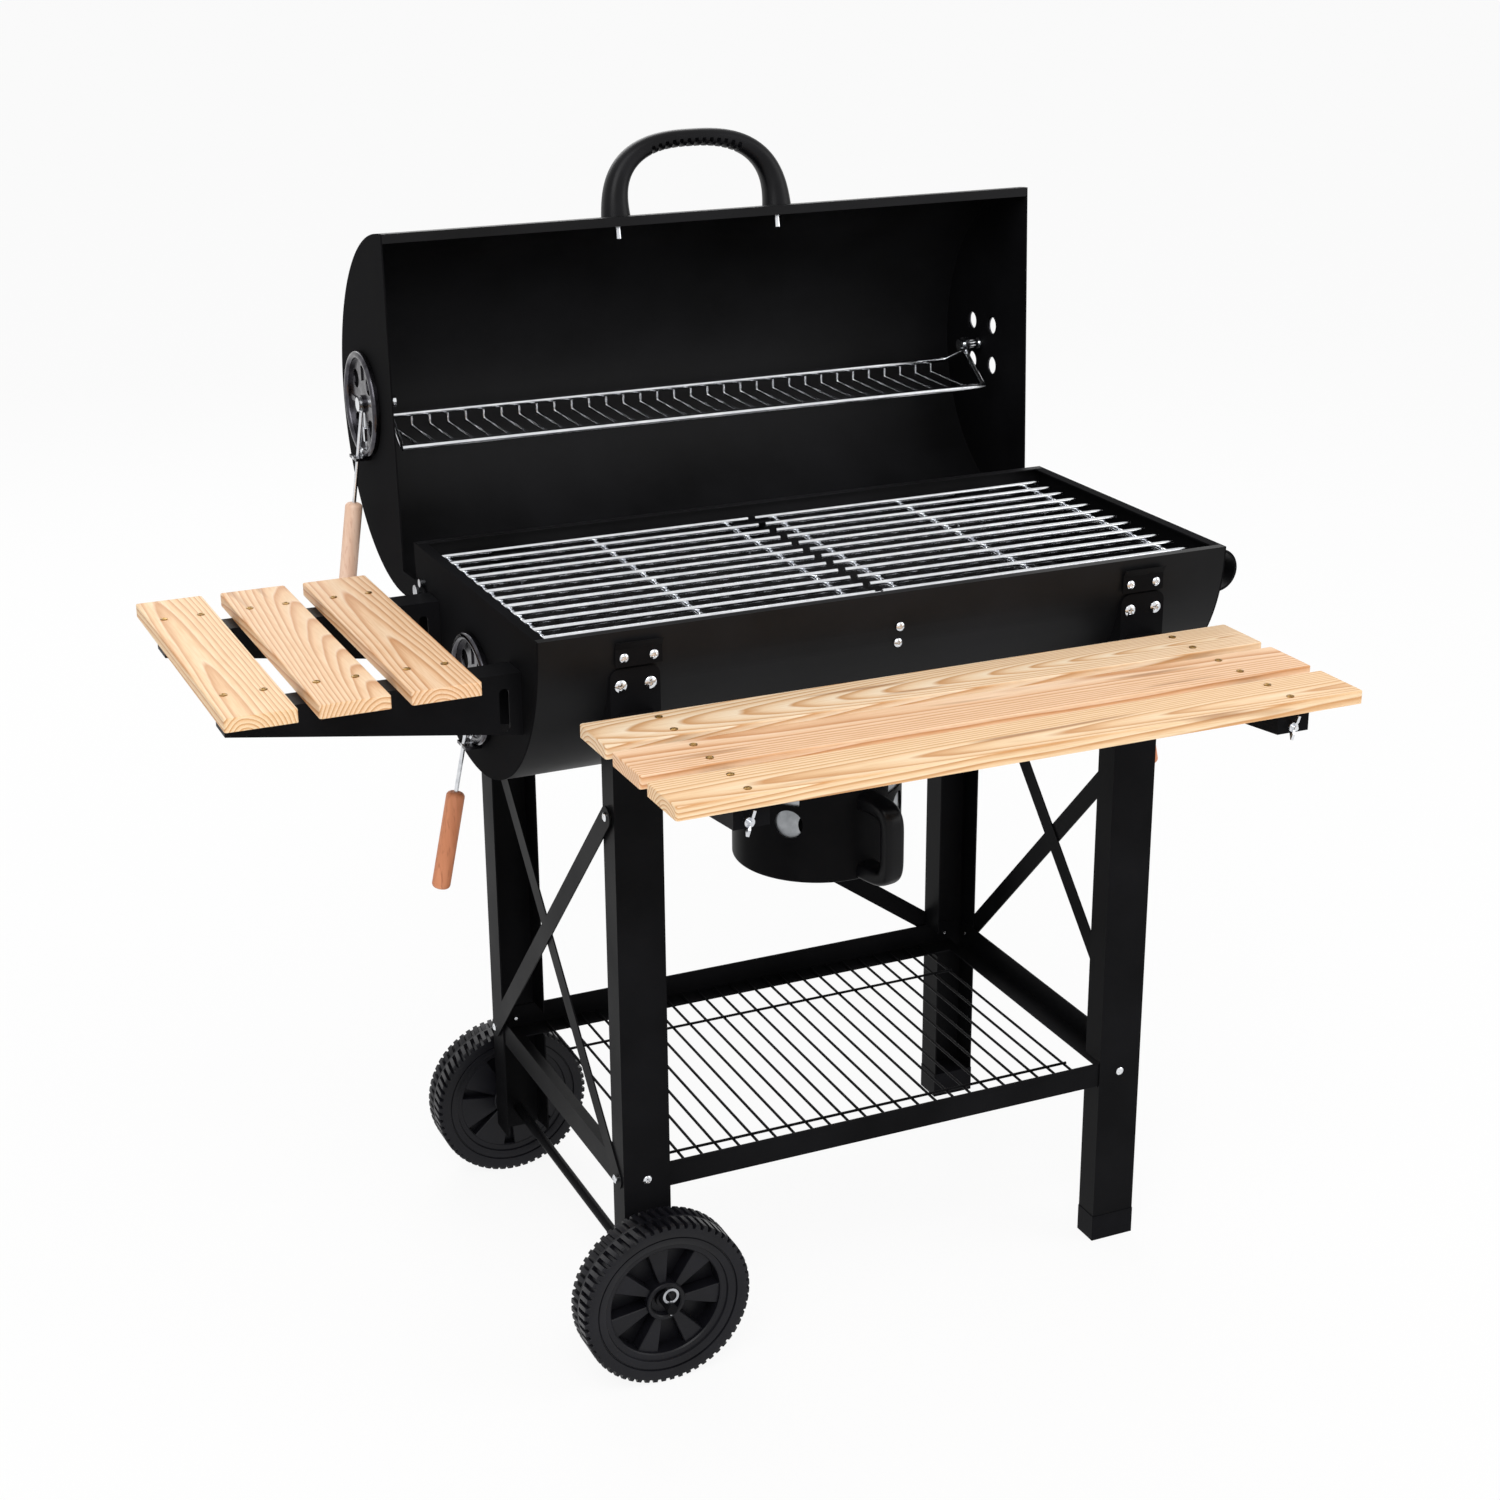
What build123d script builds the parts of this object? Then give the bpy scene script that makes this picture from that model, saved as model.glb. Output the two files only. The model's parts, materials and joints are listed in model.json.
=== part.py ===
from build123d import *
import os
from math import atan2, cos, degrees, hypot, radians, sin, sqrt

# Barrel charcoal grill on a wheeled cart, with its lid open as it stands in use.
# Sizes are millimetres. +X runs along the barrel, +Y from the front to the back, +Z is up.
# Inside the script every place is measured from the floor point under the barrel's middle.
# The three plane functions below carry that to the middle of the whole object's footprint.

# Barrel and lid
barrel_length = 700.0
barrel_radius = 176.0
rim_z = 736.0
shell_wall = 1.2
end_wall = 1.5
rim_flange = 9.0
lid_gap = 1.0
lid_side_gap = 1.0
lid_open_angle = 92.5
pivot_y = 162.0
pivot_z = 690.0
pivot_bolt_radius = 4.0
running_gap = 0.05
ear_width = 24.0
ear_lug_radius = 12.0
heel_radius = 8.0
heel_drop = 16.0
stop_y = 146.0
stop_z = 703.2
stop_radius = 4.0

# Air vents and their levers, one on each end of the barrel and of the lid
vent_offset = 95.0
vent_holes = 4
vent_hole_radius = 9.5
vent_circle = 31.0
damper_radius = 53.0
damper_bead_width = 7.5
damper_bead_height = 7.0
damper_plate = 1.5
damper_standoff = 0.5
damper_boss_radius = 9.0
damper_boss_height = 4.5
damper_rib_length = 15.0
damper_rib_width = 5.0
damper_tab_width = 24.0
damper_tab_depth = 16.0
lever_radius = 2.0
lever_length = 184.0
lever_start_drop = 9.0
lever_start_out = 4.0
lid_lever_lean = 8.4
barrel_lever_lean = 12.0
grip_start = 92.0
grip_length = 96.0
grip_radius = 8.8

# Legs, rails and braces of the cart
leg_x = 259.5
leg_width = 47.0
front_leg_depth = 28.0
front_leg_face = 174.3
rear_leg_depth = 32.4
rear_leg_face = 205.0
leg_top = 701.0
leg_sheet = 1.5
leg_corner = 9.0
foot_height = 28.0
foot_sole = 3.0
foot_wall = 0.6
axle_leg_end = 62.0
rail_z = 180.0
rail_size = 25.5
rail_sheet = 1.5
rail_end = 8.5
rail_notch = 1.5
brace_width = 20.0
brace_sheet = 1.5
brace_top_z = 560.0
brace_low_z = 193.0
shelf_wire_radius = 1.4
shelf_wire_count = 24
shelf_half_length = 226.0
shelf_front = 168.0
shelf_back = 199.0
shelf_cross_wires = (-123.0, 123.0)

# Axle and wheels
axle_radius = 5.0
wheel_radius = 84.0
wheel_width = 40.0
front_wheel_outer = 223.0
rear_wheel_outer = 260.0
wheel_rim = 28.0
wheel_hub_radius = 19.0
wheel_spokes = 7
wheel_chamfer = 3.0
spoke_rim_width = 24.0
spoke_side_angle = 81.0
wedge_rim_width = 43.7
wedge_side_angle = 72.8
spoke_width = 24.0
axle_overhang = 9.0
clip_radius = 1.2
clip_loop = 8.0
clip_leg = 8.0
clip_sheet = 2.0

# Front table of three planks along the barrel, side table of three planks across it
plank_width = 62.0
plank_thickness = 12.0
plank_round = 2.5
front_table_z = 672.0
front_plank_length = 654.0
front_plank_back = 213.0
front_plank_pitch = 76.0
side_table_z = 709.0
side_plank_length = 355.0
side_plank_near = 400.0
side_plank_pitch = 79.5
arm_width = 32.0
arm_sheet = 1.5
front_arm_x = 259.5
front_arm_reach = 420.0
front_arm_tip_depth = 19.0
front_arm_root_depth = 46.0
side_arm_y = 117.0
side_arm_reach = 612.0
side_arm_tip_depth = 20.0
side_arm_root_depth = 58.0
arm_slot_x = 366.5
arm_slot_z = 664.0
arm_slot_width = 9.0
arm_slot_height = 40.0
plank_screw_spread = 17.0
plank_screw_radius = 2.0
plank_screw_head = 3.4
plank_screw_tail = 4.0
plank_screw_dome = 1.2
plank_screw_taper = 35.0

# Grates and their brackets
grate_bars = 13
grate_bar_pitch = 26.0
grate_bar_radius = 2.5
grate_cross_radius = 3.0
grate_top_z = 726.0
grate_inner_x = 4.0
grate_outer_x = 337.0
grate_cross_x = (27.0, 170.0, 322.0)
bracket_width = 40.0
bracket_sheet = 1.5
bracket_drop = 24.0
bracket_reach = 22.0
bracket_back_y = 169.6
bracket_x = (-257.0, 0.0, 257.0)
seat_gap = 0.3
weld = 0.6
charcoal_z = 650.0
charcoal_half_depth = 149.6
charcoal_half_length = 326.0
charcoal_bars = 30
charcoal_bar_radius = 2.5
charcoal_rail_y = 96.0

# Warming rack that hangs in the lid
rack_pin_tip = 322.0
rack_hanger_x = 330.0
rack_drop = 38.0
rack_half_depth = 45.0
rack_back_rise = 13.0
rack_rod_radius = 3.2
rack_hanger_radius = 2.2
rack_wire_radius = 1.5
rack_wires = 33
rack_wire_pitch = 19.5
rack_eye_radius = 8.0
rack_eye_length = 5.0

# Handles
handle_shift = -15.0
handle_span = 174.0
handle_top_span = 150.0
handle_rise = 72.0
handle_bend = 46.0
handle_radius = 10.0
handle_foot_radius = 15.0
handle_foot_height = 9.0
handle_foot_taper = 12.0
handle_angle = 8.5
handle_bolt_radius = 3.0
handle_bolt_tail = 22.0

# Ash cup, its fixed sleeve and its handle
ash_hole_radius = 70.0
sleeve_radius = 82.5
sleeve_wall = 1.2
sleeve_low_z = 424.0
cup_radius = 85.0
cup_wall = 1.2
cup_low_z = 416.0
cup_top_z = 512.0
cup_hole_angle = 45.5
sleeve_hole_angle = 62.0
cup_round = 4.0
air_hole_radius = 14.5
air_hole_z = 477.0
air_holes = 4
bayonet_z = 500.0
bayonet_radius = 3.0
bayonet_angles = (90.0, 210.0, 330.0)
bayonet_slot = (-30.0, 23.0)
bayonet_room = 0.5
bayonet_entry = 5.0
bayonet_reach = 4.0
cup_handle_angle = -80.0
cup_handle_out = 40.0
cup_handle_root = 4.0
cup_handle_high_z = 494.0
cup_handle_low_z = 430.0
cup_handle_radius = 8.5
cup_handle_bend = 16.0

# Brackets, plates and fasteners
loop_height = 43.0
loop_reach = 47.0
loop_width = 24.0
loop_sheet = 2.5
loop_top_z = 718.0
plate_width = 44.0
plate_low_z = 704.0
plate_bend_z = 720.0
plate_top_z = 727.0
plate_lean = 4.0
plate_sheet = 1.5
screw_spread = 14.0
plate_screw_z = 712.0
leg_screw_z = 685.5
centre_screw_z = (703.0, 686.5)
screw_radius = 2.0
screw_hole_radius = 2.05
contact = 0.1
head_gap = 0.4
nut_height = 5.0
nut_margin = 2.0
bolt_head_height = 3.0
bolt_head_radius = 7.0
dome_land = 0.5
small_head = 4.2
large_head = 5.6
head_height = 2.6
bolt_radius = 2.5
bolt_hole_radius = 2.55
wall_screw_reach = 11.0
rear_screw_reach = 42.0
rail_bolt_reach = 7.0
brace_bolt_reach = 7.0
wing_hub_radius = 4.5
wing_hub_height = 8.0
wing_span = 22.0
wing_height = 13.0
wing_sheet = 2.6
wing_tail = 4.0
front_wing_drop = 11.0
front_wing_shift = -5.0

# Worked out from the driving sizes
half_length = barrel_length / 2
shell_half = half_length - end_wall
lid_inner_half = half_length + lid_side_gap
lid_outer_half = lid_inner_half + end_wall
lid_low_z = rim_z + lid_gap
lid_middle = (-pivot_y, lid_low_z - pivot_z)
side_table_reach = side_plank_near + 2 * side_plank_pitch + plank_width
grip_edge = grip_radius / 2
grip_tip = grip_start + grip_length - grip_edge
grip_lean = radians(barrel_lever_lean)
lever_start_x = half_length + damper_standoff + lever_start_out
right_reach = lever_start_x + grip_tip * sin(grip_lean) + grip_edge * (1 + cos(grip_lean))
front_reach = front_arm_reach + wing_hub_height + wing_tail
lid_middle_y = pivot_y + lid_middle[0] * cos(radians(lid_open_angle)) + lid_middle[1] * sin(
    radians(lid_open_angle)
)
back_reach = lid_middle_y + barrel_radius
barrel_x = (side_table_reach - right_reach) / 2
barrel_y = (front_reach - back_reach) / 2
vent_z = rim_z - vent_offset
leg_screws = [
    (side * leg_x + step, leg_screw_z) for side in (-1, 1) for step in (-screw_spread, screw_spread)
]
plate_screws = [
    (x + step, plate_screw_z)
    for x in (bracket_x[0], bracket_x[2])
    for step in (-screw_spread, screw_spread)
]
centre_screws = [(bracket_x[1], z) for z in centre_screw_z]

os.makedirs("parts", exist_ok=True)


def across(x):
    """Plane square to the barrel's axis: local x is Y, local y is Z, its normal is +X."""
    return Plane(origin=(barrel_x + x, barrel_y, 0), x_dir=(0, 1, 0), z_dir=(1, 0, 0))


def facing(y):
    """Plane that faces the front: local x is X, local y is Z, its normal is -Y."""
    return Plane(origin=(barrel_x, barrel_y + y, 0), x_dir=(1, 0, 0), z_dir=(0, -1, 0))


def level(z):
    """Level plane: local x is X, local y is Y, its normal is +Z."""
    return Plane(origin=(barrel_x, barrel_y, z))


def lid_across(x):
    """Like across, from the lid's pivot and turned with the lid: sketched as if it were closed."""
    turn = radians(-lid_open_angle)
    middle = (barrel_x + x, barrel_y + pivot_y, pivot_z)
    return Plane(origin=middle, x_dir=(0, cos(turn), sin(turn)), z_dir=(1, 0, 0))


def upright(angle):
    """Upright plane through the barrel's middle: local x is the distance out along angle, local y is Z."""
    turn = radians(angle)
    out = (cos(turn), sin(turn), 0)
    return Plane(origin=(barrel_x, barrel_y, 0), x_dir=out, z_dir=(sin(turn), -cos(turn), 0))


def place(x, y, z):
    """Point of the shared frame for a place measured from the barrel's middle."""
    return Vector(barrel_x + x, barrel_y + y, z)


def rod(start, end, radius):
    """Round bar between two points of the shared frame."""
    reach = end - start
    with BuildPart() as bar:
        with BuildSketch(Plane(origin=start, z_dir=reach)):
            Circle(radius)
        extrude(amount=reach.length)
    return bar.part


def save(piece, name):
    """Label a finished piece and write its file."""
    piece.part.label = name
    export_step(piece.part, f"parts/{name}.step")


# Lower half of the barrel, with an inward flange along its two long edges
with BuildPart() as barrel_shell:
    with BuildSketch(across(-shell_half)):
        with Locations((0, rim_z)):
            Circle(barrel_radius)
            Circle(barrel_radius - shell_wall, mode=Mode.SUBTRACT)
        with Locations((0, rim_z + barrel_radius)):
            Rectangle(3 * barrel_radius, 2 * barrel_radius, mode=Mode.SUBTRACT)
        for side in (-1, 1):
            with Locations((side * (barrel_radius - rim_flange / 2), rim_z - shell_wall / 2)):
                Rectangle(rim_flange, shell_wall)
    extrude(amount=2 * shell_half)
    with BuildSketch(level(rim_z - 2 * barrel_radius)):
        Circle(ash_hole_radius)
    extrude(amount=1.5 * barrel_radius, mode=Mode.SUBTRACT)
    with BuildSketch(facing(2 * barrel_radius)):
        with Locations(*leg_screws, *plate_screws, *centre_screws):
            Circle(screw_hole_radius)
    extrude(amount=4 * barrel_radius, mode=Mode.SUBTRACT)
save(barrel_shell, "barrel_shell")

# End plates of the barrel, with air holes, a flange along the top and the lid's pivot hole
for side, name in ((-1, "barrel_left_end"), (1, "barrel_right_end")):
    inner_x = min(side * shell_half, side * half_length)
    with BuildPart() as barrel_end:
        with BuildSketch(across(inner_x)):
            with Locations((0, rim_z)):
                Circle(barrel_radius)
            with Locations((0, rim_z + barrel_radius)):
                Rectangle(3 * barrel_radius, 2 * barrel_radius, mode=Mode.SUBTRACT)
            with Locations((0, vent_z)):
                Circle(pivot_bolt_radius + running_gap, mode=Mode.SUBTRACT)
                with PolarLocations(vent_circle, vent_holes, start_angle=45):
                    Circle(vent_hole_radius, mode=Mode.SUBTRACT)
            with Locations((pivot_y, pivot_z)):
                Circle(pivot_bolt_radius + running_gap, mode=Mode.SUBTRACT)
            with Locations((stop_y, stop_z)):
                Circle(stop_radius + running_gap, mode=Mode.SUBTRACT)
        extrude(amount=end_wall)
        with BuildSketch(level(rim_z - end_wall)):
            with Locations((side * (shell_half - rim_flange / 2), 0)):
                Rectangle(rim_flange, 2 * (barrel_radius - rim_flange))
        extrude(amount=end_wall)
    save(barrel_end, name)

# Lid: the other half of the barrel, turned back on its pivots
with BuildPart() as lid_shell:
    with BuildSketch(lid_across(-lid_inner_half)):
        with Locations(lid_middle):
            Circle(barrel_radius)
            Circle(barrel_radius - shell_wall, mode=Mode.SUBTRACT)
        with Locations((lid_middle[0], lid_middle[1] - barrel_radius)):
            Rectangle(3 * barrel_radius, 2 * barrel_radius, mode=Mode.SUBTRACT)
        with Locations((lid_middle[0] - barrel_radius + rim_flange / 2, lid_middle[1] + shell_wall / 2)):
            Rectangle(rim_flange, shell_wall)
    extrude(amount=2 * lid_inner_half)
    handle_turn = radians(180 - handle_angle)
    handle_foot = (
        lid_middle[0] + barrel_radius * cos(handle_turn),
        lid_middle[1] + barrel_radius * sin(handle_turn),
    )
    handle_slice = lid_across(handle_shift)
    handle_base = handle_slice.from_local_coords(Vector(*handle_foot, 0))
    handle_out = (handle_base - handle_slice.from_local_coords(Vector(*lid_middle, 0))).normalized()
    handle_floor = Plane(origin=handle_base, x_dir=(1, 0, 0), z_dir=handle_out)
    with BuildSketch(handle_floor.offset(-barrel_radius / 4)):
        with Locations((-handle_span / 2, 0), (handle_span / 2, 0)):
            Circle(handle_bolt_radius + running_gap)
    extrude(amount=barrel_radius / 2, mode=Mode.SUBTRACT)
save(lid_shell, "lid_shell")

for side, name in ((-1, "lid_left_end"), (1, "lid_right_end")):
    inner_x = min(side * lid_inner_half, side * lid_outer_half)
    with BuildPart() as lid_end:
        with BuildSketch(lid_across(inner_x)):
            with Locations(lid_middle):
                Circle(barrel_radius)
            with Locations((lid_middle[0], lid_middle[1] - barrel_radius)):
                Rectangle(3 * barrel_radius, 2 * barrel_radius, mode=Mode.SUBTRACT)
            with Locations((barrel_radius - pivot_y - ear_width / 2, lid_middle[1] / 2)):
                Rectangle(ear_width, lid_middle[1])
            Circle(ear_lug_radius)
            with Locations((0, -heel_drop / 2)):
                Rectangle(2 * heel_radius, heel_drop)
            with Locations((0, -heel_drop)):
                Circle(heel_radius)
            Circle(pivot_bolt_radius + running_gap, mode=Mode.SUBTRACT)
            with Locations((lid_middle[0], lid_middle[1] + vent_offset)):
                Circle(pivot_bolt_radius + running_gap, mode=Mode.SUBTRACT)
                with PolarLocations(vent_circle, vent_holes, start_angle=45):
                    Circle(vent_hole_radius, mode=Mode.SUBTRACT)
        extrude(amount=end_wall)
    save(lid_end, name)

# Place of the lid's vent, where the rack hangs, with the lid open
lid_vent = lid_across(0).from_local_coords(Vector(lid_middle[0], lid_middle[1] + vent_offset, 0))
lid_vent_y = lid_vent.Y - barrel_y
lid_vent_z = lid_vent.Z

# Lid handle: an arch of round bar on two feet, bolted through the lid
handle_upright = Plane(
    origin=handle_base, x_dir=(1, 0, 0), z_dir=Vector(1, 0, 0).cross(handle_out)
)
with BuildPart() as lid_handle:
    with BuildLine(handle_upright) as arch:
        FilletPolyline(
            (-handle_span / 2, 0),
            (-handle_top_span / 2, handle_rise),
            (handle_top_span / 2, handle_rise),
            (handle_span / 2, 0),
            radius=handle_bend,
        )
    with BuildSketch(Plane(origin=arch.line @ 0, z_dir=arch.line % 0)):
        Circle(handle_radius)
    sweep(path=arch.line)
    with BuildSketch(handle_floor.offset(-handle_foot_height / 3)):
        with Locations((-handle_span / 2, 0), (handle_span / 2, 0)):
            Circle(handle_foot_radius)
    extrude(amount=handle_foot_height, taper=handle_foot_taper)
    with BuildSketch(lid_across(-half_length)):
        with Locations(lid_middle):
            Circle(barrel_radius + running_gap)
    extrude(amount=barrel_length, mode=Mode.SUBTRACT)
    with BuildSketch(handle_floor.offset(-handle_foot_height)):
        with Locations((-handle_span / 2, 0), (handle_span / 2, 0)):
            Circle(handle_bolt_radius + running_gap)
    extrude(amount=2 * handle_foot_height, mode=Mode.SUBTRACT)
save(lid_handle, "lid_handle")

with BuildPart() as handle_bolts:
    foot_places = ((-handle_span / 2, 0), (handle_span / 2, 0))
    washer_top = -shell_wall - 2 * seat_gap
    with BuildSketch(handle_floor.offset(-handle_bolt_tail)):
        with Locations(*foot_places):
            Circle(handle_bolt_radius)
    extrude(amount=handle_bolt_tail + handle_foot_height / 2)
    with BuildSketch(handle_floor.offset(washer_top - end_wall)):
        with Locations(*foot_places):
            Circle(large_head + nut_margin)
    extrude(amount=end_wall)
    with BuildSketch(handle_floor.offset(washer_top - end_wall - nut_height)):
        with Locations(*foot_places):
            RegularPolygon(large_head, 6)
    extrude(amount=nut_height)
save(handle_bolts, "handle_bolts")

# Bolts that the lid turns on and studs that its heels lean on, at both barrel ends
with BuildPart() as hinge_bolts:
    pivot = (pivot_y, pivot_z)
    stud = (stop_y, stop_z)
    nut_x = shell_half - nut_height
    tip_x = lid_outer_half + contact + bolt_head_height
    for side in (-1, 1):
        for spot, radius in ((pivot, pivot_bolt_radius), (stud, stop_radius)):
            add(rod(place(side * nut_x, *spot), place(side * tip_x, *spot), radius))
            nut_out = place(side * (shell_half - contact), *spot)
            add(rod(place(side * nut_x, *spot), nut_out, radius + nut_margin))
        washer_in = place(side * (half_length + contact), *pivot)
        washer_out = place(side * (lid_inner_half - contact), *pivot)
        add(rod(washer_in, washer_out, bolt_head_radius))
        head_in = place(side * (tip_x - bolt_head_height), *pivot)
        add(rod(head_in, place(side * tip_x, *pivot), bolt_head_radius))
save(hinge_bolts, "hinge_bolts")


def vent_bolt(side, face_x, tip_x, nut_x, y, z):
    """Bolt in the middle of a vent: a damper turns on it outside, and a nut holds it inside."""
    head_x = face_x + damper_standoff + damper_boss_height + head_gap
    end_x = head_x + bolt_head_height
    with BuildPart() as bolt:
        add(rod(place(side * tip_x, y, z), place(side * end_x, y, z), pivot_bolt_radius))
        add(rod(place(side * head_x, y, z), place(side * end_x, y, z), bolt_head_radius))
        nut_in = place(side * (nut_x - nut_height), y, z)
        add(rod(nut_in, place(side * (nut_x - contact), y, z), pivot_bolt_radius + nut_margin))
    return bolt.part


with BuildPart() as damper_pins:
    for side in (-1, 1):
        add(vent_bolt(side, half_length, shell_half - 2 * nut_height, shell_half, 0, vent_z))
save(damper_pins, "damper_pins")

# Bolts in the lid's vents, which reach inside to carry the warming rack
with BuildPart() as rack_pins:
    for side in (-1, 1):
        add(vent_bolt(side, lid_outer_half, rack_pin_tip, lid_inner_half, lid_vent_y, lid_vent_z))
        tip = place(side * rack_pin_tip, lid_vent_y, lid_vent_z)
        tip_back = place(side * (rack_pin_tip + bolt_head_height), lid_vent_y, lid_vent_z)
        add(rod(tip, tip_back, pivot_bolt_radius + nut_margin))
save(rack_pins, "rack_pins")

# Dampers: a pressed disc with a rolled bead, a boss, a tab and a wire lever with a turned wooden grip
damper_places = (
    ("barrel_left", -1, half_length, 0, vent_z, barrel_lever_lean),
    ("barrel_right", 1, half_length, 0, vent_z, barrel_lever_lean),
    ("lid_left", -1, lid_outer_half, lid_vent_y, lid_vent_z, lid_lever_lean),
    ("lid_right", 1, lid_outer_half, lid_vent_y, lid_vent_z, lid_lever_lean),
)
for name, side, face_x, vent_y, middle_z, lean in damper_places:
    back_x = face_x + damper_standoff
    disc_plane = Plane(
        origin=place(side * back_x, vent_y, middle_z), x_dir=(0, side, 0), z_dir=(side, 0, 0)
    )
    lever_top = place(side * (back_x + lever_start_out), vent_y, middle_z - lever_start_drop)
    lever_way = Vector(side * sin(radians(lean)), 0, -cos(radians(lean)))
    with BuildPart() as damper:
        with BuildSketch(disc_plane):
            Circle(damper_radius)
        extrude(amount=damper_plate)
        with BuildSketch(disc_plane):
            Circle(damper_radius)
            Circle(damper_radius - damper_bead_width, mode=Mode.SUBTRACT)
        extrude(amount=damper_bead_height)
        bead_edges = damper.edges().filter_by(GeomType.CIRCLE).group_by(Axis((0, 0, 0), (side, 0, 0)))[-1]
        fillet(bead_edges, damper_bead_width / 2 - 0.3)
        with BuildSketch(disc_plane):
            Circle(damper_boss_radius)
        extrude(amount=damper_boss_height)
        with BuildSketch(disc_plane):
            with PolarLocations(vent_circle, vent_holes, start_angle=0):
                RectangleRounded(damper_rib_length, damper_rib_width, damper_rib_width / 2 - 0.2)
        extrude(amount=2 * damper_plate)
        with BuildSketch(disc_plane):
            with PolarLocations(vent_circle, vent_holes, start_angle=45):
                Circle(vent_hole_radius)
        extrude(amount=damper_bead_height, mode=Mode.SUBTRACT)
        with BuildSketch(disc_plane):
            with Locations((0, -damper_radius - damper_plate / 2)):
                Rectangle(damper_tab_width, 2 * damper_plate)
        extrude(amount=damper_tab_depth)
        add(rod(lever_top, lever_top + lever_way * lever_length, lever_radius))
        with BuildSketch(disc_plane):
            Circle(pivot_bolt_radius + running_gap)
        extrude(amount=damper_bead_height, mode=Mode.SUBTRACT)
    save(damper, f"{name}_damper")
    with BuildPart() as grip:
        with BuildSketch(Plane(origin=lever_top + lever_way * grip_start, z_dir=lever_way)):
            Circle(grip_radius)
        extrude(amount=grip_length)
        fillet(grip.edges().filter_by(GeomType.CIRCLE), grip_edge)
        with BuildSketch(Plane(origin=lever_top + lever_way * grip_start, z_dir=lever_way)):
            Circle(lever_radius + running_gap)
        extrude(amount=lever_length - grip_start + running_gap, mode=Mode.SUBTRACT)
    save(grip, f"{name}_grip")

# Warming rack: two long rods, bent cross wires and a wire hanger at each end
rack_z = lid_vent_z - rack_drop
rack_front_y = lid_vent_y - rack_half_depth
rack_back_y = lid_vent_y + rack_half_depth
with BuildPart() as warming_rack:
    back_z = rack_z + rack_back_rise
    for y, z in ((rack_front_y, rack_z), (rack_back_y, back_z)):
        add(rod(place(-rack_hanger_x, y, z), place(rack_hanger_x, y, z), rack_rod_radius))
    for index in range(rack_wires):
        x = (index - (rack_wires - 1) / 2) * rack_wire_pitch
        low_back = place(x, rack_back_y, rack_z)
        add(rod(place(x, rack_front_y, rack_z), low_back, rack_wire_radius))
        corner = low_back - Vector(0, 0, rack_wire_radius)
        add(rod(corner, place(x, rack_back_y, back_z), rack_wire_radius))
    for side in (-1, 1):
        hanger_x = side * rack_hanger_x
        eye = place(hanger_x, lid_vent_y, lid_vent_z)
        half_eye = Vector(rack_eye_length / 2, 0, 0)
        add(rod(eye - half_eye, eye + half_eye, rack_eye_radius))
        low_eye = eye - Vector(0, 0, rack_eye_radius - rack_hanger_radius)
        add(rod(low_eye, place(hanger_x, rack_front_y, rack_z), rack_hanger_radius))
        add(rod(low_eye, place(hanger_x, rack_back_y, back_z), rack_hanger_radius))
    with BuildSketch(across(-half_length)):
        with Locations((lid_vent_y, lid_vent_z)):
            Circle(pivot_bolt_radius + running_gap)
    extrude(amount=barrel_length, mode=Mode.SUBTRACT)
save(warming_rack, "warming_rack")

# Cooking grates: two lift-out halves of long bars on cross rods
bar_z = grate_top_z - grate_bar_radius
cross_z = bar_z - grate_bar_radius - grate_cross_radius + weld
grate_half_depth = (grate_bars - 1) / 2 * grate_bar_pitch
for side, name in ((-1, "left_grate"), (1, "right_grate")):
    with BuildPart() as grate:
        for index in range(grate_bars):
            y = index * grate_bar_pitch - grate_half_depth
            inner = place(side * grate_inner_x, y, bar_z)
            add(rod(inner, place(side * grate_outer_x, y, bar_z), grate_bar_radius))
        for x in grate_cross_x:
            front = place(side * x, -grate_half_depth - grate_bar_radius, cross_z)
            back = place(side * x, grate_half_depth + grate_bar_radius, cross_z)
            add(rod(front, back, grate_cross_radius))
    save(grate, name)

# Charcoal grate lower in the barrel: close bars on two long rods
with BuildPart() as charcoal_grate:
    for index in range(charcoal_bars):
        x = (2 * index / (charcoal_bars - 1) - 1) * charcoal_half_length
        front = place(x, -charcoal_half_depth, charcoal_z)
        add(rod(front, place(x, charcoal_half_depth, charcoal_z), charcoal_bar_radius))
    for y in (-charcoal_rail_y, charcoal_rail_y):
        rail_low = charcoal_z - 2 * charcoal_bar_radius + weld
        start = place(-charcoal_half_length - charcoal_bar_radius, y, rail_low)
        add(rod(start, place(charcoal_half_length + charcoal_bar_radius, y, rail_low), charcoal_bar_radius))
save(charcoal_grate, "charcoal_grate")

# Brackets inside the barrel's front and back walls, which carry the cooking grates
ledge_z = grate_top_z - 2 * grate_bar_radius - seat_gap
with BuildPart() as grate_brackets:
    for side in (-1, 1):
        for x in bracket_x:
            with BuildSketch(across(x - bracket_width / 2)):
                with Locations((side * (bracket_back_y - bracket_sheet / 2), ledge_z - bracket_drop / 2)):
                    Rectangle(bracket_sheet, bracket_drop)
                with Locations((side * (bracket_back_y - bracket_reach / 2), ledge_z - bracket_sheet / 2)):
                    Rectangle(bracket_reach, bracket_sheet)
            extrude(amount=bracket_width)
    with BuildSketch(facing(2 * barrel_radius)):
        with Locations(*plate_screws, *centre_screws):
            Circle(screw_hole_radius)
    extrude(amount=4 * barrel_radius, mode=Mode.SUBTRACT)
save(grate_brackets, "grate_brackets")

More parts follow.
